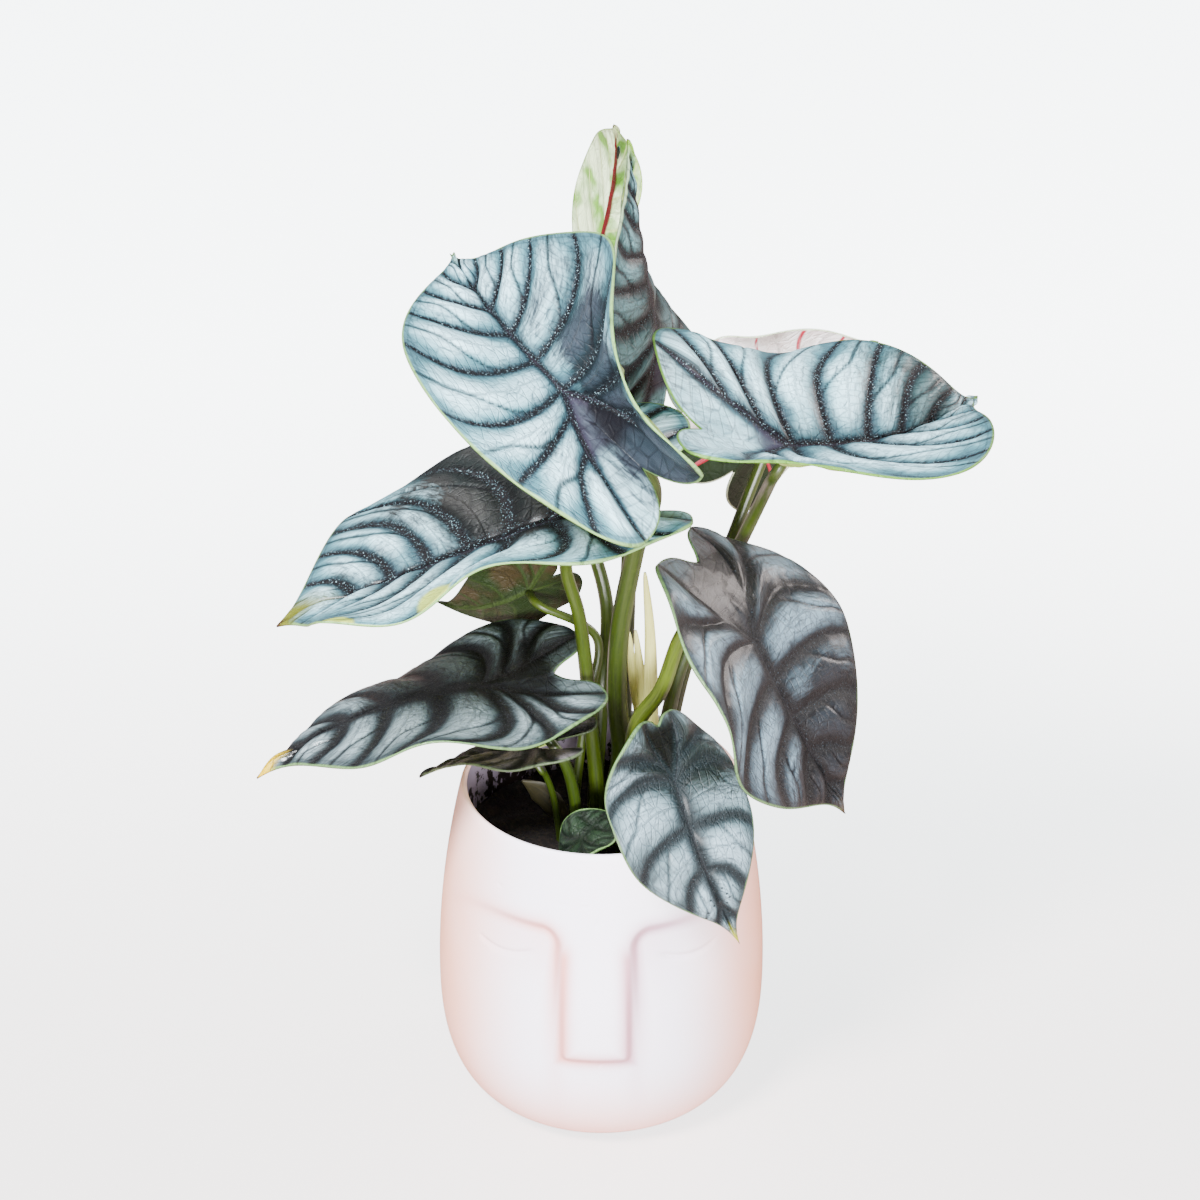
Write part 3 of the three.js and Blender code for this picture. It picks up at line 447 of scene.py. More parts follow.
def leafGrid(leaf, look, half, outer):  # one of a blade's four sheets: its flat points and their values
    f = bladeForm
    along, across, inwards = look.grid
    rearRows = int(along * f.hubShare)
    shares = np.linspace(0, 1, across) ** f.sideCrowd if outer else -np.linspace(0, 1, inwards)
    s = np.linspace(0, f.hubShare, rearRows + 1)
    if outer:
        s = np.concatenate([s, np.linspace(f.hubShare, 1, along - rearRows + 1)[1:]])
    ss, tt = np.meshgrid(s, shares, indexing="ij")
    out = np.clip(tt, 0, 1)
    flat = flatPoint(leaf, ss, tt, half)
    rib = flatPoint(leaf, ss, 0 * tt, half)
    rim = flatPoint(leaf, ss, 0 * tt + (1 if outer else -1), half)
    ahead, behind = np.clip(ss + 1e-3, 0, 1), np.clip(ss - 1e-3, 0, 1)
    stretch = np.linalg.norm(flatPoint(leaf, ahead, tt, half) - flatPoint(leaf, behind, tt, half), axis=-1)
    perVein = stretch / np.maximum(veinCount(leaf, ahead) - veinCount(leaf, behind), 1e-6)
    # the veins sway a little from their even places, more towards the margin
    v = veinCount(leaf, ss)
    sway = np.sin(2.1 * v + 4.2 * out + 3 * half + look.seed)
    v = v + f.veinSway * sway * out * np.sin(np.pi * np.clip(v / 0.7, 0, 0.5))
    nearest = np.round(v)
    veinGap = np.where((nearest <= 0) | (not outer), farGap, np.abs(v - nearest) * perVein)
    # a side branch leaves each vein and turns into the middle of its panel
    fork = f.forkReach * smooth((out - 0.2) / 0.55)
    branchGap = np.where((out < f.forkStart) | (v < 0.8), farGap, np.abs(v - np.floor(v) - fork) * perVein)
    ribGap = np.linalg.norm(flat - rib, axis=-1)
    edgeGap = np.where((ss >= f.hubShare / 2) & (not outer), farGap, np.linalg.norm(flat - rim, axis=-1))
    swell = (4 * out * (1 - out)) ** f.marginPower
    dip = f.branchDip * leaf.bulge * bell(branchGap / f.lineWidth) * smooth((out - 0.25) / 0.3) * swell
    lift = leaf.bulge * (np.sin(np.pi * v) ** 2) ** f.panelPower * swell - dip
    keel = f.keel * smooth(ss / f.hubShare) * smooth((1 - ss) / f.keelFade) * bell(ribGap / f.lineWidth)
    rearwards = -flat[..., 0] / (leaf.notch * leaf.rearSpan)
    zone = (0 * ss + (not outer)) * (1 - smooth((rearwards - look.zoneEnd) / f.zoneFade))
    spot = flat * [1, half] / leaf.length
    # soft patches of painted shade on the blade; a negative patch marks where the underside's colour is
    # painted instead
    cast = 0 * ss
    for x, y, radius, strength in look.cast:
        cast = cast + strength * bell(np.hypot(spot[..., 0] - x, spot[..., 1] - y) / radius)
    if outer:
        grain = [tt * np.linalg.norm(rim - rib, axis=-1), veinGap, nearest * 11 + half * 5]
    else:
        grain = [0.6 * flat[..., 0], 0.6 * flat[..., 1], 0 * ss + 40 + half]
    place = [flat[..., 0], flat[..., 1] * half, 0 * ss + look.seed * 17]
    return flat, dict(
        veinGap=veinGap, branchGap=branchGap, ribGap=ribGap, edgeGap=edgeGap, lift=lift, keel=keel,
        alongLeaf=ss, acrossLeaf=out, zone=zone, cast=cast,
        grain=np.stack(grain, -1), place=np.stack(place, -1))


def leafPiece(name, leaf, look, material):
    flats, bent, tables, faces = [], [], [], []
    count = 0
    for half, outer in ((1, True), (1, False), (-1, True), (-1, False)):
        flat, table = leafGrid(leaf, look, half, outer)
        quads = gridFaces(*flat.shape[:2])
        faces.append((quads[:, ::-1] if (half > 0) == outer else quads) + count)
        flats.append(flat.reshape(-1, 2) * [1, half])
        bent.append(bentPoint(leaf, flat, half).reshape(-1, 3))
        tables.append(table)
        count += flat.shape[0] * flat.shape[1]
    keep, tri = welded(np.concatenate(flats), np.concatenate(faces))
    middle = np.concatenate(bent)[keep]
    flatten = lambda grid: grid.reshape(-1, *grid.shape[2:])
    values = {key: np.concatenate([flatten(t[key]) for t in tables])[keep] for key in tables[0]}
    corner = middle[tri]
    normal = np.zeros_like(middle)
    turned = np.cross(corner[:, 1] - corner[:, 0], corner[:, 2] - corner[:, 0])
    np.add.at(normal, tri.ravel(), np.repeat(turned, 3, 0))
    normal /= np.linalg.norm(normal, axis=1, keepdims=True) + 1e-12
    f = bladeForm
    inland = np.clip(values["edgeGap"] / 4, 0, 1) * np.clip(values["ribGap"] / 5, 0, 1)
    lift = values["lift"] = values["lift"] + f.lump * waves3(middle, f.lumpSize, look.seed, 2) * inland
    upper = middle + normal * (lift + f.half)[:, None]
    lower = middle + normal * (lift - f.half - values.pop("keel"))[:, None]
    # the open border of the sheet, walled between its two faces
    n = len(middle)
    edges = np.concatenate([tri[:, [0, 1]], tri[:, [1, 2]], tri[:, [2, 0]]])
    rim = edges[~np.isin(edges[:, 1] * n + edges[:, 0], edges[:, 0] * n + edges[:, 1])]
    wall = halved(np.stack([rim[:, 1], rim[:, 0], rim[:, 0] + n, rim[:, 1] + n], 1))
    attributes = {key: np.concatenate([v, v]) for key, v in values.items()}
    attributes["upper"] = np.repeat([1, 0], n)
    points, faces = np.concatenate([upper, lower]), np.concatenate([tri, tri[:, ::-1] + n, wall])
    makePiece("blade_" + name, points, faces, material, "leaf_" + name, attributes)


# The finish most blades share: colours as display values, widths in millimetres, shares along the leaf.
basePaint = dict(
    Silver=(198, 242, 255), Mint=(88, 146, 156), Dim=(50, 70, 82), Dark=(4, 2, 7), Halo=(22, 20, 34),
    Zone=(54, 48, 64), Cast=(88, 80, 80), Margin=(120, 160, 96), Tip=(104, 140, 40), Under=(150, 178, 80),
    Blotch=(170, 190, 110), UnderVein=(190, 205, 130), UnderRib=(196, 205, 140), UnderCast=(150, 178, 80),
    Band=1.6, BandEnd=0.6, RibBand=3, Fringe=5, Soft=1.4, Wear=0.6, Glint=0.7, Branch=0.85, TipStart=0.9,
    Specks=0, Swell=1)


def paintOf(**changes):
    paint = {**basePaint, **changes}
    return {key: rgb(*value) if isinstance(value, tuple) else value for key, value in paint.items()}


def shadedGreyPaint(**changes):  # the lower leaves' finish: greyer and darker as painted shade under the canopy, with wider, softer vein bands
    grey = dict(
        Silver=(132, 152, 160), Mint=(58, 74, 78), Dim=(34, 40, 44), Dark=(3, 4, 7), Halo=(14, 16, 22),
        Zone=(20, 20, 26), Cast=(96, 86, 82), Margin=(90, 122, 76),
        Band=2.3, BandEnd=1.2, RibBand=3.6, Fringe=2, Soft=3.2, Glint=0.2)
    return paintOf(**{**grey, **changes})


def bladeGroup():  # silver panels, dark bands on the veins, a grey zone at the notch, a pale underside
    tree = bpy.data.node_groups.new("bladePaint", "ShaderNodeTree")

    def addSocket(name, side, color):
        kind = "NodeSocketColor" if color else "NodeSocketFloat"
        tree.interface.new_socket(name=name, in_out=side, socket_type=kind)

    for key, value in basePaint.items():
        addSocket(key, "INPUT", isinstance(value, tuple))
    for key in ("Color", "Roughness", "Height"):
        addSocket(key, "OUTPUT", key == "Color")
    source, sink = tree.nodes.new("NodeGroupInput"), tree.nodes.new("NodeGroupOutput")
    given = SimpleNamespace(**{key: Socket(tree, source.outputs[key]) for key in basePaint})
    vein, rib, edge, branch = (attribute(tree, key + "Gap") for key in ("vein", "rib", "edge", "branch"))
    across, along, upper, zone, lift, cast = (
        attribute(tree, key) for key in ("acrossLeaf", "alongLeaf", "upper", "zone", "lift", "cast"))
    grain, place = (attribute(tree, key, "Vector") for key in ("grain", "place"))

    hair = noise(grain, (1.1, 0.22, 1), 3, 0.65) - 0.5
    ribHair = noise(place, (1, 0.3, 1), 3, 0.65) - 0.5
    patch = noise(place, (0.05, 0.05, 1), 3)
    fine = noise(place, (1.2, 1.2, 1), 4, 0.7)
    crinkle = noise(grain, (0.16, 0.55, 1), 4, 0.65, 0.6)

    def band(gap, shake, width):  # 1 on the vein, fading over the fringe
        return fade(gap + shake * given.Fringe, width * 0.35, width + given.Soft)

    width = ramp(across, 0, 1, given.Band, given.BandEnd, "LINEAR")
    ribWidth = ramp(along, 0.5, 1, given.RibBand, 0.5, "LINEAR")
    rearWidth = ramp(along, 0.02, 0.3, 0.5, 1, "LINEAR")
    dark = most(band(vein, hair, width), band(rib, ribHair, ribWidth * rearWidth))
    # painted shade: a soft dark halo along the veins and the rib, where the panels sink towards them
    reach = width * ramp(across, 0, 0.6, 5, 3.6, "LINEAR")
    veinShade = most(fade(vein + hair * 2, 0.3, reach), fade(rib, 0.8, ribWidth * 3))
    fork = fade(branch + hair * 1.6, 0.15, 1.5) * given.Branch
    net = fade(cells(grain, (0.3, 0.13, 1), feature="DISTANCE_TO_EDGE"), 0, 0.1)
    notchSide = ramp(rib, 1, 7) * fade(across, 0, 0.02)
    # panels paler on their raised crests and darker in the valleys between them: painted highlight and shade,
    # mixed with random patches
    crest = lift / given.Swell + (patch - 0.5) * 1.4 + notchSide * 0.75
    # painted shade: inside the shade patches, broken up by noise, the panels are multiplied by a darker tint
    paintedShade = ramp(cast + ((patch - 0.5) * 1.3 + (crinkle - 0.5)), 0.05, 1)
    panel = layers(
        blend(ramp(crest, 0.15, 1.05), given.Mint, given.Silver),
        (ramp(crinkle, 0.46, 0.7) * 0.55, given.Dim), (ramp(fine, 0.5, 0.75) * 0.3, given.Dim),
        (net * 0.3, given.Halo), (given.Wear * ramp(crest, 0.5, 0), given.Dim),
        (veinShade * 0.8, given.Halo), (ramp(zone, 0.15, 0.9) * 0.92, given.Zone))
    panel = blend(fork, blend(paintedShade, panel, given.Cast, "MULTIPLY"), given.Dark)
    # the vein bands' own dark colour, with white specks on them as painted glints
    speck = ramp(noise(place, (1.3, 1.3, 1), 2, 0.6), 0.6, 0.68)
    shade = blend(speck * given.Glint, given.Dark, given.Silver)
    collector = fade(abs(edge + hair * 1.2 - 2.6), 0.1, 0.7)
    dot = fade(cells(place, (0.21, 0.21, 1), voronoi_dimensions="2D"), 0.09, 0.14) * ramp(along, 0.66, 0.74)
    rimLine = fade(edge, 0.25, 1.1)
    top = layers(
        panel, (dark * ramp(edge, 0.2, 1.6, 0.45, 1), shade), (fade(rib, 0.25, 0.8) * 0.35, given.Zone),
        (collector * 0.35, given.Dark), (dot * given.Specks, given.Dark),
        (ramp(cast, -0.35, -0.6), given.Under), (rimLine, given.Margin))
    below = layers(
        # painted shade on the underside inside the shade patches
        blend(ramp(patch, 0.45, 0.62), given.Under, given.Blotch), (ramp(cast, 0.25, 0.6), given.UnderCast),
        (fade(vein, 0.3, 1.3), given.UnderVein), (fade(rib, 1, 1.9), given.UnderRib),
        (rimLine, given.Margin))
    color = layers(
        blend(ramp(upper, 0.3, 0.7), below, top),
        (ramp(along + hair * 0.04, given.TipStart, given.TipStart + 0.07), given.Tip),
        (ramp(along, 0.982, 0.995), rgb(58, 34, 14)))
    sunk = net * 0.4 + dark * (abs(hair) * 2.2 + speck * -0.9)
    fill(sink, {"Color": color, "Roughness": ramp(fine, 0.2, 0.8, 0.4, 0.56) + dark * 0.06,
                "Height": fine * 0.35 + crinkle * 0.9 - sunk})
    return tree


bladePaint = bladeGroup()


def bladeMaterial(name, look, swell):
    material, tree, shader = newMaterial("blade_" + name)
    group = tree.nodes.new("ShaderNodeGroup")
    group.node_tree = bladePaint
    fill(group, {**look.paint, "Swell": swell})
    color, roughness, height = (Socket(tree, group.outputs[key]) for key in ("Color", "Roughness", "Height"))
    fill(shader, {"Base Color": color, "Roughness": roughness, "Normal": bump(height, 0.7, 0.0009),
                  "Specular IOR Level": 0.25, "Coat Weight": look.gloss, "Coat Roughness": look.wet})
    return material


# Patches of painted shade on each blade, each with its place in leaf lengths from the hub, its radius and its
# strength;
# a negative one paints the underside's colour instead.
looks = spread(dict(grid=(190, 50, 14), wet=0.25, zoneEnd=0.8, cast=()), {
    "upper_left": dict(
        seed=1, gloss=0.2, zoneEnd=0.55,
        paint=paintOf(Cast=(66, 60, 66)),
        cast=[(0, -0.12, 0.08, 0.9), (-0.04, -0.2, 0.08, 0.9), (-0.12, -0.09, 0.08, 0.9),
              (-0.22, -0.1, 0.13, 1.4), (-0.33, -0.14, 0.15, 1.4), (0.1, -0.2, 0.12, 0.5),
              (0.28, -0.2, 0.12, 0.35), (0.4, -0.06, 0.1, 0.35), (0.18, -0.08, 0.08, 0.4)]),
    "right": dict(
        seed=2, gloss=0.2, zoneEnd=0.2,
        paint=paintOf(Tip=(84, 116, 26), Band=2.4, BandEnd=0.7, Under=(150, 184, 80), TipStart=0.955,
                      Margin=(96, 140, 56), Cast=(104, 108, 104)),
        cast=[(0.43, 0.07, 0.13, 1.2), (-0.26, 0.14, 0.13, 0.4), (0.02, 0, 0.08, 0.3), (0.3, 0.2, 0.1, 0.4)]),
    "left": dict(
        seed=3, gloss=0.2,
        paint=paintOf(Tip=(96, 100, 20), Under=(168, 184, 84), Band=2.9, BandEnd=1, RibBand=4.6,
                      Cast=(66, 52, 48)),
        cast=[(0.12, -0.08, 0.1, 1.3), (0.2, -0.3, 0.1, 1), (0.05, -0.07, 0.1, 1.1), (0.02, 0.09, 0.1, 0.6),
              (0.3, -0.4, 0.08, 0.8), (0.08, -0.2, 0.12, 1.1), (-0.02, -0.3, 0.2, 1.1),
              (0.55, -0.05, 0.07, 0.5), (0.38, -0.24, 0.1, 0.7), (0.24, -0.14, 0.07, 0.5),
              (0.25, 0.3, 0.06, -1.1), (0.5, 0.34, 0.04, -1.1)]),
    "lower_left": dict(
        seed=4, gloss=0.3, wet=0.12,
        paint=shadedGreyPaint(Silver=(130, 148, 154), Tip=(214, 180, 0), TipStart=0.885),
        cast=[(0, -0.05, 0.26, 0.45), (-0.25, -0.1, 0.15, 0.4), (0.25, -0.08, 0.16, 0.4)]),
    "top": dict(
        seed=5, gloss=0.12, grid=(140, 40, 12),
        paint=paintOf(Silver=(104, 142, 148), Mint=(42, 70, 70), Dim=(30, 46, 48), Halo=(14, 20, 26),
                      Band=2, Margin=(120, 140, 110), Cast=(100, 120, 100)),
        cast=[(0.3, -0.1, 0.4, 0.35), (-0.1, 0.24, 0.2, 0.3)]),
    "right_back": dict(
        seed=6, gloss=0.1, grid=(120, 36, 12),
        paint=paintOf(Under=(255, 254, 254), Blotch=(255, 246, 247), UnderVein=(190, 30, 60),
                      UnderRib=(190, 30, 60), UnderCast=(24, 42, 18), Margin=(220, 232, 200),
                      Tip=(130, 170, 90)),
        cast=[(-0.26, 0.14, 0.17, 1), (-0.26, -0.14, 0.17, 1), (-0.1, 0, 0.1, 0.9)]),
    "hanging": dict(
        seed=7, gloss=0.22,
        paint=shadedGreyPaint(Silver=(124, 150, 166), Mint=(38, 50, 58), Cast=(72, 68, 70), Tip=(60, 52, 38)),
        cast=[(0.33, 0.16, 0.15, 1.1), (0.5, 0.02, 0.16, 1.2), (0.2, 0.14, 0.1, 0.5),
              (0.42, -0.08, 0.1, 0.6), (-0.24, 0, 0.16, 0.9), (-0.12, 0.14, 0.12, 0.7)]),
    "front": dict(
        seed=8, gloss=0.2, wet=0.3, grid=(150, 44, 14),
        paint=shadedGreyPaint(Silver=(136, 162, 174), Mint=(76, 98, 104), Dark=(12, 24, 28), Halo=(30, 44, 50),
                        Cast=(98, 98, 92), Tip=(176, 186, 8), TipStart=0.885, Band=1.6, BandEnd=1,
                        RibBand=2.8, Fringe=0.8, Soft=3.6, Branch=0.5, Specks=0.9),
        cast=[(-0.08, 0.07, 0.18, 1), (-0.16, -0.1, 0.14, 0.8), (0.02, 0.2, 0.12, 0.6)]),
    "young": dict(
        seed=9, gloss=0.2, grid=(90, 26, 10),
        paint=paintOf(Silver=(46, 60, 48), Mint=(24, 38, 26), Dim=(18, 30, 20), Cast=(100, 170, 110),
                      Dark=(6, 18, 8), Halo=(16, 32, 20), Zone=(20, 40, 24), Band=1.2, BandEnd=0.5,
                      RibBand=1.4, Soft=1.2),
        cast=[(0.1, 0, 0.3, 0.6)]),
    "low": dict(
        seed=10, gloss=0.14, grid=(110, 32, 10),
        paint=shadedGreyPaint(Silver=(120, 114, 118), Mint=(84, 80, 82), Cast=(60, 104, 54), Tip=(8, 12, 6),
                        Band=1.5, Margin=(70, 84, 60)),
        cast=[(0.48, -0.02, 0.22, 1.2)]),
    "back_left": dict(
        seed=11, gloss=0.1, grid=(110, 32, 10),
        paint=paintOf(Under=(30, 46, 16), Blotch=(56, 48, 28), UnderVein=(42, 58, 22),
                      UnderRib=(52, 68, 28), UnderCast=(30, 46, 16), Margin=(30, 44, 20), Tip=(40, 52, 24))),
    "top_back": dict(
        seed=12, gloss=0.12, grid=(120, 36, 12),
        paint=paintOf(Under=(232, 255, 206), Blotch=(112, 168, 60), UnderVein=(204, 224, 150),
                      UnderRib=(104, 14, 24), UnderCast=(230, 255, 196), Margin=(150, 180, 100),
                      Tip=(206, 220, 164))),
})
for name, leaf in leaves.items():
    leafPiece(name, leaf, looks[name], bladeMaterial(name, looks[name], leaf.bulge))
print("leaf blades done")


# Stalks and sheaths are swept along curves from the soil to the hub.
def smoothPath(points, steps):  # a curve through the points: Catmull-Rom, each stretch in the given steps
    p = np.asarray(points, float)
    p = np.concatenate([[2 * p[0] - p[1]], p, [2 * p[-1] - p[-2]]])
    t = (np.arange(steps) / steps)[None, :, None]
    a, b, c, d = (p[k:len(p) - 3 + k, None] for k in range(4))
    square, cube = 2 * a - 5 * b + 4 * c - d, 3 * b - a - 3 * c + d
    path = 0.5 * (2 * b + (c - a) * t + square * t ** 2 + cube * t ** 3)
    return np.concatenate([path.reshape(-1, 3), p[-2:-1]])


def sweptPiece(name, path, wide, thick, look, material, replaced, endAlong=None, tone=0.5):
    # rings square to the path, turned as little as possible from one to the next, closed by a cap at each end
    along = np.gradient(path, axis=0)
    along /= np.linalg.norm(along, axis=1, keepdims=True)
    if endAlong is not None:
        along[-1] = endAlong
    reference = np.array([0.0, -1.0, 0.0])
    firsts = []
    for way in along:
        reference = reference - way * (reference @ way)
        reference = reference / np.linalg.norm(reference)
        firsts.append(reference)
    first = np.array(firsts)
    second = np.cross(along, first)
    count, sides = len(path), look.sides
    angle = np.linspace(0, 2 * np.pi, sides, endpoint=False)
    swell = 1 - look.ribs * (0.5 + 0.5 * np.cos(look.ribCount * angle))
    ring = (thick[:, None, None] * (np.cos(angle) * swell)[None, :, None] * first[:, None]
            + wide[:, None, None] * (np.sin(angle) * swell)[None, :, None] * second[:, None])
    points = np.concatenate([(path[:, None] + ring).reshape(-1, 3), path[:1], path[-1:]])
    k = np.arange(sides)
    nxt = (k + 1) % sides
    low, top = count * sides, (count - 1) * sides
    caps = [np.stack([0 * k + low, nxt, k], 1), np.stack([0 * k + low + 1, top + k, top + nxt], 1)]
    tri = np.concatenate([halved(gridFaces(count, sides, closed=True)), *caps])
    turn = np.concatenate([np.tile(angle, count), [0, 0]])
    travelled = np.concatenate([[0], np.cumsum(np.linalg.norm(np.diff(path, axis=0), axis=1))])
    height = np.concatenate([np.repeat(travelled, sides), [0, travelled[-1]]])
    skin = np.stack([np.cos(turn) * 3, np.sin(turn) * 3, height], -1)
    makePiece(name, points, tri, material, replaced, dict(skin=skin, tone=np.full(len(points), tone)))


def stalkMaterial(name, look):  # fine streaks along the stalk, two greens mixed by the tone
    material, tree, shader = newMaterial(name)
    skin = attribute(tree, "skin", "Vector")
    streak = noise(skin, (1.6, 1.6, 0.06), 4.0, 0.6)
    speck = noise(skin, (0.5, 0.5, 0.5), 4.0, 0.7)
    color = layers(
        blend(attribute(tree, "tone"), look.low, look.high),
        (ramp(streak, 0.4, 0.75) * 0.55, look.spot), (ramp(speck, 0.55, 0.75) * 0.3, look.high))
    fill(shader, {"Base Color": color, "Roughness": ramp(streak, 0.2, 0.8, 0.34, 0.5),
                  "Normal": bump(streak, 0.35, 0.0004), "Coat Weight": look.gloss, "Coat Roughness": 0.25})
    return material


stalkLook = SimpleNamespace(
    steps=14, sides=36, ribs=0.035, ribCount=9, root=112, gap=0.3, gloss=0.3,
    low=rgb(25, 45, 7), high=rgb(80, 98, 14), spot=rgb(16, 28, 5))
stalkTones = dict(
    upper_left=0.35, right=0.35, left=0.55, lower_left=0.25, top=0.3, right_back=0.45, hanging=1.0, front=0.4,
    young=0.3, low=0.3, back_left=0.6, top_back=0.5)
stalkSkin = stalkMaterial("stalkSkin", stalkLook)
for name, leaf in leaves.items():
    along, left, up = hubFrame(leaf)
    top = leaf.stalkTop
    hub = np.asarray(leaf.hub, float)
    # a folded blade hangs lower beside its rib, so its stalk ends lower too
    sag = top * np.sin(np.radians(max(0, -leaf.fold[0], -leaf.fold[1])))
    below = hub - up * (9 + 2 * top) - along * (3 + top)
    end = hub - up * (bladeForm.half + bladeForm.keel + stalkLook.gap + sag)
    foot = (*leaf.route[0][:2], stalkLook.root)
    path = smoothPath([foot, *leaf.route, below, end], stalkLook.steps)
    radius = np.linspace(leaf.stalkBase, top, len(path))
    sweptPiece("stem_" + name, path, radius, radius, stalkLook, stalkSkin, "stalk_" + name,
               endAlong=up, tone=stalkTones[name])

paleLook = SimpleNamespace(
    steps=14, sides=24, ribs=0.0, ribCount=0, radius=2.5, end=0.35, width=1.6, gloss=0.2,
    low=rgb(206, 206, 110), high=rgb(236, 232, 158), spot=rgb(176, 180, 74))
paleSheaths = [
    ((17, 12, 112), (18.3, 16.5, 150), (18.9, 19.8, 172), (14.6, 19, 198), (12.3, 18, 223.5)),
    ((17.5, 12, 112), (19.7, 15.5, 150), (21, 18, 172), (18.1, 17.5, 198), (15.2, 17, 225)),
    ((18, 12, 112), (22, 12.5, 150), (22, 10, 200), (21.3, 7, 231), (18.9, 4, 261)),
]
paleSkin = stalkMaterial("paleSkin", paleLook)
for k, points in enumerate(paleSheaths):
    path = smoothPath(points, paleLook.steps)
    radius = paleLook.radius * (1 - np.linspace(0, 1, len(path))) ** 0.6 + paleLook.end
    sweptPiece("paleSheath_%d" % (k + 1), path, paleLook.width * radius, radius, paleLook, paleSkin,
               "pale_sheaths")

oldLook = SimpleNamespace(
    steps=12, sides=24, ribs=0.0, ribCount=0, thick=0.7, halves=(1.6, 2.2, 5.2, 5.6, 0.5), gloss=0.0,
    points=((-16, 13, 114), (-17, 13, 127), (-21, 14, 134), (-28, 15, 142), (-36, 14, 148.5)),
    low=rgb(44, 48, 30), high=rgb(110, 92, 58), spot=rgb(24, 26, 16))
path = smoothPath(oldLook.points, oldLook.steps)
wide = np.interp(np.linspace(0, 4, len(path)), range(5), oldLook.halves)
sweptPiece("oldSheath", path, wide, 0 * wide + oldLook.thick, oldLook, stalkMaterial("oldSkin", oldLook),
           "old_sheath", tone=0.2)
print("stalks and sheaths done")

# The pot is turned, with a face pressed into its front. Angles are degrees from the face's middle.
potLook = SimpleNamespace(
    height=158, foot=43, belly=75, bellyHeight=60, mouthInset=12, leanPower=1.9, bellyPower=2.5,
    rimWall=2.6, bodyWall=6.4, wallStart=114, wallSpan=36, bowl=51, wallTop=156, floorEdge=40,
    rimMiddle=61.75, rimLevel=156.4, rimHalves=(1.35, 1.6), faceTurn=-2, faceEdge=62, perDegree=1.3,
    noseHalf=11.3, noseFoot=56, noseTop=122, noseRise=2.2, noseSlope=4, browTop=125, browEdge=38,
    browDroop=0.012, hollow=3.4, hollowFade=(42, 45), slope=6, corner=12, footCorner=5, eyeLevel=103.6,
    eyeMiddle=37.5, eyeDroop=0.022, eyeEnds=(22, 49), eyeFade=5, eyeWidth=1.3, eyeDepth=0.9)
potDrops = (  # small drops and nicks: degrees, height, two half sizes and depth of each
    (-39, 135.2, 2.2, 0.9, 0.3), (-13.5, 134.6, 3.0, 0.7, 0.25), (-4, 134.6, 1.6, 0.7, 0.25),
    (0.5, 126.5, 0.8, 1.8, 0.35), (1.5, 55, 0.7, 0.7, 0.5), (-29, 77, 0.6, 1.2, 0.2))


def potRadius(z):  # a rounded belly below, a wall leaning in above
    p = potLook
    above = p.belly - p.mouthInset * (positive(z - p.bellyHeight) / (p.height - p.bellyHeight)) ** p.leanPower
    drop = np.clip((p.bellyHeight - z) / p.bellyHeight, 0, 1)
    below = p.foot + (p.belly - p.foot) * (1 - drop ** p.bellyPower) ** (1 / p.bellyPower)
    return np.where(z > p.bellyHeight, above, below)


def potWall(z):  # thin at the rim, thicker from the soil downwards
    p = potLook
    return mix(p.bodyWall, p.rimWall, smooth((z - p.wallStart) / p.wallSpan))


def corner(u, v, radius):  # the smaller of u and v, rounded where they meet
    return radius - np.hypot(positive(radius - u), positive(radius - v))


def facePlace(angle, z):  # millimetres outwards from the nose, down from the brow, and in from both
    p = potLook
    across = (np.abs(angle) - p.noseHalf) * p.perDegree
    below = p.browTop - p.browDroop * positive(np.abs(angle) - p.browEdge) ** 2 - z
    return across, below, corner(across, below, p.corner)


def faceRelief(angle, z):  # nose and brow stand proud of two hollows that fade outwards and down
    p = potLook
    across, below, inside = facePlace(angle, z)
    fade = bell(below / p.hollowFade[1]) * bell(positive(across) / p.hollowFade[0])
    foot = corner(1.5 * p.perDegree - across, z - p.noseFoot, p.footCorner)
    nose = p.noseRise * smooth(foot / p.noseSlope) * smooth((p.noseTop - z) / 50)
    return nose - p.hollow * smooth(inside / p.slope) * fade - eyeLid(angle, z) - dropRelief(angle, z)


def eyeLid(angle, z):  # a closed eye on each side: a shallow groove along a drooping arc
    p = potLook
    aside = np.abs(angle)
    arc = p.eyeLevel + p.eyeDroop * (aside - p.eyeMiddle) ** 2
    ends = smooth((aside - p.eyeEnds[0]) / p.eyeFade) * smooth((p.eyeEnds[1] - aside) / p.eyeFade)
    return p.eyeDepth * bell((z - arc) / p.eyeWidth) * ends


def dropRelief(angle, z):
    p = potLook
    return sum(k * bell((angle - a) * p.perDegree / u) * bell((z - h) / v) for a, h, u, v, k in potDrops)


def paintedFaceShade(angle, z):  # painted shade: 1 along the edges of the nose and under the brows, fading over a few millimetres
    across, below, inside = facePlace(angle, z)
    outwards = positive(across)
    brow = bell((inside - 3.6) / 5.0) * bell(below / 60) * bell(outwards / 46)
    edge = np.minimum(1.5 - across, z - potLook.noseFoot)
    nose = bell((edge - 1.6) / 4.2) * smooth((potLook.noseTop - z) / 14)
    shade = 0.42 * smooth((inside - 1) / 9) * bell(below / 26) * bell(outwards / 40)
    return np.maximum(np.maximum(brow, nose), shade)


def turnedGrid(radii, heights, angles, relief=None, bend=None):
    # a profile turned about the pot's axis, first and last entry on the axis
    z, a = np.meshgrid(heights, angles, indexing="ij")
    r = np.broadcast_to(np.asarray(radii)[:, None], z.shape)
    if relief is not None:
        r = r + relief(a, z)
    phi = np.radians(a + potLook.faceTurn)
    level = z if bend is None else bend(r, phi, z)
    points = np.stack([r * np.sin(phi), -r * np.cos(phi), level], -1)
    points[0, :, :2] = 0
    points[-1] = points[-1].mean(0)
    points[-1, :, :2] = 0
    points = points.reshape(-1, 3)
    keep, tri = welded(points, gridFaces(len(heights), len(angles), closed=True))
    return a, z, points[keep], keep, tri


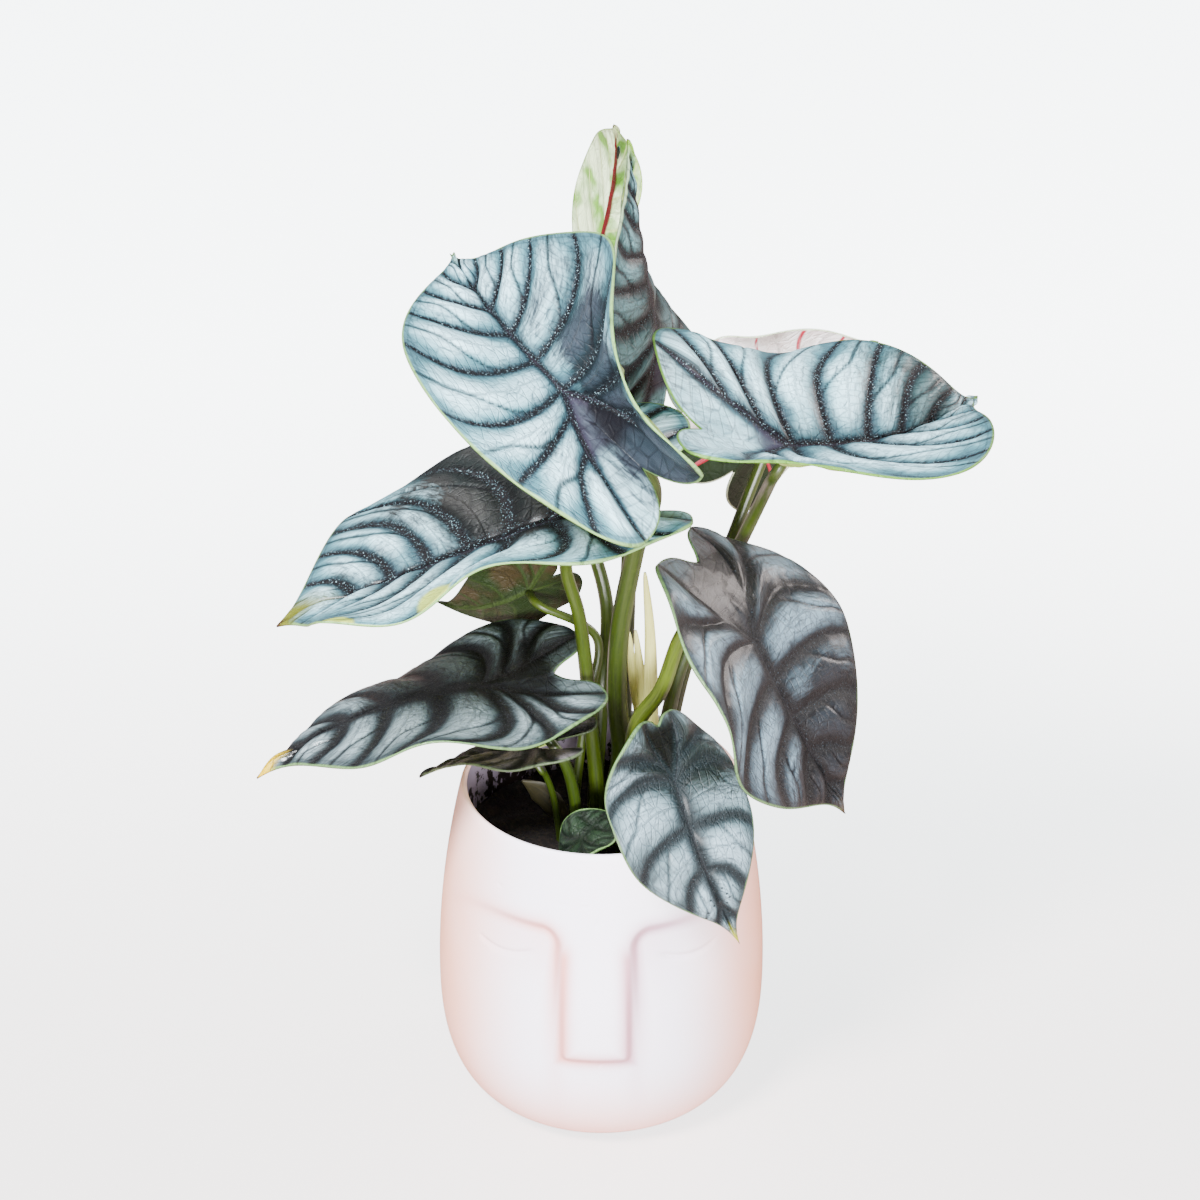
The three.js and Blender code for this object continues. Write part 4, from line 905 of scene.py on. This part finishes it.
def ceramicMaterial():
    material, tree, shader = newMaterial("mattCeramic")
    coordinate = addNode(tree, "TexCoord", {}, "Object")
    x, z = (addNode(tree, "SeparateXYZ", {0: coordinate}, key) for key in "XZ")
    cloud = noise(coordinate, 22.0, 3.0)
    splash = noise(mapped(coordinate, (1, 1, 0.6)), 170.0, 4.0, 0.7)
    level = ramp(z, 0.124, 0.152, 0.42, 0.66, "LINEAR")
    dirt = ramp(splash - level, -0.01, 0.03)
    color = layers(
        # lavender white in front and peach towards the sides and the foot: the peach is painted shade where
        # the round pot turns away from the light
        blend(ramp(abs(x), 0.030, 0.076), rgb(244, 240, 255), rgb(255, 182, 152)),
        (ramp(z, 0.055, 0.0) * 0.8, rgb(255, 184, 158)), (ramp(cloud, 0.4, 0.8) * 0.15, rgb(252, 248, 252)),
        # painted shade along the nose and under the brows, peach on the left and mauve on the right
        (attribute(tree, "faceShade") * 0.85,
         blend(ramp(x, -0.03, 0.03), rgb(226, 136, 112), rgb(178, 124, 148))),
        # painted shade on the steep edges of the face relief
        (ramp(attribute(tree, "slopeShade"), 0.1, 1.2, 0.0, 0.25), rgb(190, 130, 140)),
        # inside the pot a greyish purple wall as painted shade, spattered with dark soil that is thicker
        # lower down
        (ramp(attribute(tree, "inside"), 0.4, 0.6), blend(dirt, rgb(150, 138, 156), rgb(30, 20, 18))))
    fill(shader, {"Base Color": color, "Roughness": ramp(cloud, 0.3, 0.8, 0.42, 0.55),
                  "Normal": bump(noise(coordinate, 900.0, 2.0), 0.12, 0.0002)})
    return material


# the turns and heights lie closer together on the face and low on the belly
potTurns = np.linspace(-180, 180, 145)[:-1]
faceTurns = np.linspace(-potLook.faceEdge, potLook.faceEdge, 281)
potTurns = np.unique(np.concatenate([potTurns[np.abs(potTurns) > potLook.faceEdge], faceTurns]))
low = potLook.bowl * (1 - np.cos(np.linspace(0, np.pi / 2, 30)))
outerHeights = np.concatenate([low, np.linspace(low[-1], potLook.wallTop, 140)[1:]])
rimTurn = np.linspace(0, np.pi, 14)[1:-1]
rimRadii = potLook.rimMiddle + potLook.rimHalves[0] * np.cos(rimTurn)
rimHeights = potLook.rimLevel + potLook.rimHalves[1] * np.sin(rimTurn)
innerHeights = np.linspace(potLook.wallTop, potLook.floorEdge, 40)
innerRadii = potRadius(innerHeights) - potWall(innerHeights)
floorRadii, floorHeights = [65, 59.5, 53, 45, 0], [25, 15, 9.5, 7, 7]
radii = np.concatenate([[0], potRadius(outerHeights), rimRadii, innerRadii, floorRadii])
heights = np.concatenate([[0], outerHeights, rimHeights, innerHeights, floorHeights])
stretches = (1, len(outerHeights), len(rimHeights), len(innerHeights) + len(floorHeights))
outside = np.repeat([0.0, 1.0, 0.0, 0.0], stretches)[:, None]
inside = np.repeat([0.0, 0.0, 0.0, 1.0], stretches)[:, None]
relief = lambda a, z: faceRelief(a, z) * outside
a, z, points, keep, tri = turnedGrid(radii, heights, potTurns, relief)
# how steeply the relief changes at each point, for a faint painted shade on the pressed edges
step = 0.25
sideways = (relief(a + step, z) - relief(a - step, z)) / potLook.perDegree
slopeShade = np.hypot(sideways, relief(a, z + step) - relief(a, z - step)) / (2 * step)
values = dict(inside=0 * z + inside, slopeShade=slopeShade, faceShade=paintedFaceShade(a, z))
values = {key: value.ravel()[keep] for key, value in values.items()}
makePiece("facePot", points, tri, ceramicMaterial(), "pot", values)
print("pot done")

# The soil fills the pot, with a crumbly top.
soilLook = SimpleNamespace(height=126, sink=2, crumb=6.0, crumbDepth=0.55, edge=63, edgeWidth=8, gap=0.3)


def soilMaterial():
    material, tree, shader = newMaterial("darkSoil")
    coordinate = addNode(tree, "TexCoord", {}, "Object")
    crumb = noise(coordinate, 420.0, 5.0, 0.75)
    clod = noise(coordinate, 90.0, 3.0)
    color = blend(ramp(crumb, 0.4, 0.7), rgb(12, 8, 7), rgb(40, 28, 22))
    fill(shader, {"Base Color": blend(ramp(clod, 0.6, 0.75) * 0.5, color, rgb(70, 54, 44)), "Roughness": 0.92,
                  "Normal": bump(crumb, 0.9, 0.002)})
    return material


def soilBend(r, phi, z):  # the top's height: long swells plus crumbs, level at the wall
    s = soilLook
    x, y = r * np.sin(phi), -r * np.cos(phi)
    swell = 1.1 * np.sin(0.21 * x + 0.6) * np.cos(0.17 * y) + 0.7 * np.sin(0.11 * x - 0.37 * y)
    crumbs = waves3(np.stack([x, y, 0 * x], -1), s.crumb, 21, 3) * s.crumbDepth
    top = s.height - s.sink + swell + crumbs
    return np.where(z >= s.height - 0.01, mix(z, top, smooth((s.edge - r) / s.edgeWidth)), z)


sideHeights = np.array([7.3, 9.8, 15.3, 25.3, 42, 62, 90, 116, soilLook.height])
wallRadii = potRadius(sideHeights[4:]) - potWall(sideHeights[4:]) - soilLook.gap
topRadii = np.linspace(wallRadii[-1], 0, 90)[1:]
radii = np.concatenate([[0, 44.7, 52.7, 59.2, 64.7], wallRadii, topRadii])
heights = np.concatenate([sideHeights[:1], sideHeights, 0 * topRadii + soilLook.height])
_, _, points, _, tri = turnedGrid(radii, heights, np.linspace(-180, 180, 241)[:-1], bend=soilBend)
makePiece("soilTop", points, tri, soilMaterial(), "soil", {})
print("soil done")

# A plain pale floor, three soft lights and the camera.
stageLook = SimpleNamespace(
    floor=(0.42, 0.31, 0.28, 1.0), reach=60, level=-0.0004, glowColor=(0.88, 0.97, 1.0, 1.0), glow=(2.8, 7.0),
    world=(0.94, 0.95, 1.0, 1.0), strength=0.42)
far, level = stageLook.reach, stageLook.level
floorMesh = bpy.data.meshes.new("floor")
floorCorners = [(-far, -far, level), (far, -far, level), (far, far, level), (-far, far, level)]
floorMesh.from_pydata(floorCorners, [], [(0, 1, 2, 3)])
floor = bpy.data.objects.new("floor", floorMesh)
bpy.context.scene.collection.objects.link(floor)
floorMaterial, tree, shader = newMaterial("paleFloor")
# the backdrop looks all but white, yet throws little light back at the plant
seen = addNode(tree, "LightPath", {}, "Is Camera Ray")
depth = addNode(tree, "SeparateXYZ", {0: addNode(tree, "TexCoord", {}, "Object")}, "Y")
fill(shader, {"Base Color": stageLook.floor, "Roughness": 0.8, "Emission Color": stageLook.glowColor,
              "Emission Strength": seen * ramp(depth, -0.1, 0.9, *stageLook.glow)})
floorMesh.materials.append(floorMaterial)

world = bpy.data.worlds.new("studio")
world.use_nodes = True
background = world.node_tree.nodes["Background"]
fill(background, {"Color": stageLook.world, "Strength": stageLook.strength})
bpy.context.scene.world = world


def softLight(name, place, aim, size, watts, color):
    light = bpy.data.lights.new(name, "AREA")
    light.shape = "DISK"
    light.size = size
    light.energy = watts
    light.color = color
    thing = bpy.data.objects.new(name, light)
    thing.location = place
    way = np.subtract(aim, place)
    yaw = np.arctan2(way[1], way[0]) - np.pi / 2
    tilt = np.arctan2(np.hypot(way[0], way[1]), -way[2])
    thing.rotation_euler = (tilt, 0, yaw)
    bpy.context.scene.collection.objects.link(thing)


softLight("keyLight", (-0.8, -1.15, 1.9), (0, 0, 0.25), 0.6, 185, (0.97, 0.98, 1.0))
softLight("frontLight", (0.2, -2.0, 0.5), (0, 0, 0.13), 0.7, 124, (1.0, 0.99, 1.0))
softLight("sideLight", (1.5, 0.9, 0.7), (0, 0, 0.2), 0.6, 26, (1.0, 0.9, 0.86))

cameraLook = SimpleNamespace(
    target=(-0.0006, 0.0, 0.2495), distance=1.3, rise=28.5, millimetresPerPixel=0.435, image=1200, sensor=36)
rise = np.radians(cameraLook.rise)
camera = bpy.data.objects.new("camera", bpy.data.cameras.new("camera"))
camera.data.sensor_width = cameraLook.sensor
frameWidth = cameraLook.image * cameraLook.millimetresPerPixel
camera.data.lens = cameraLook.sensor * cameraLook.distance * 1000 / frameWidth
camera.location = np.add(cameraLook.target, cameraLook.distance * np.array([0, -np.cos(rise), np.sin(rise)]))
camera.rotation_euler = (np.pi / 2 - rise, 0, 0)
bpy.context.scene.collection.objects.link(camera)
bpy.context.scene.camera = camera

print("scene done")
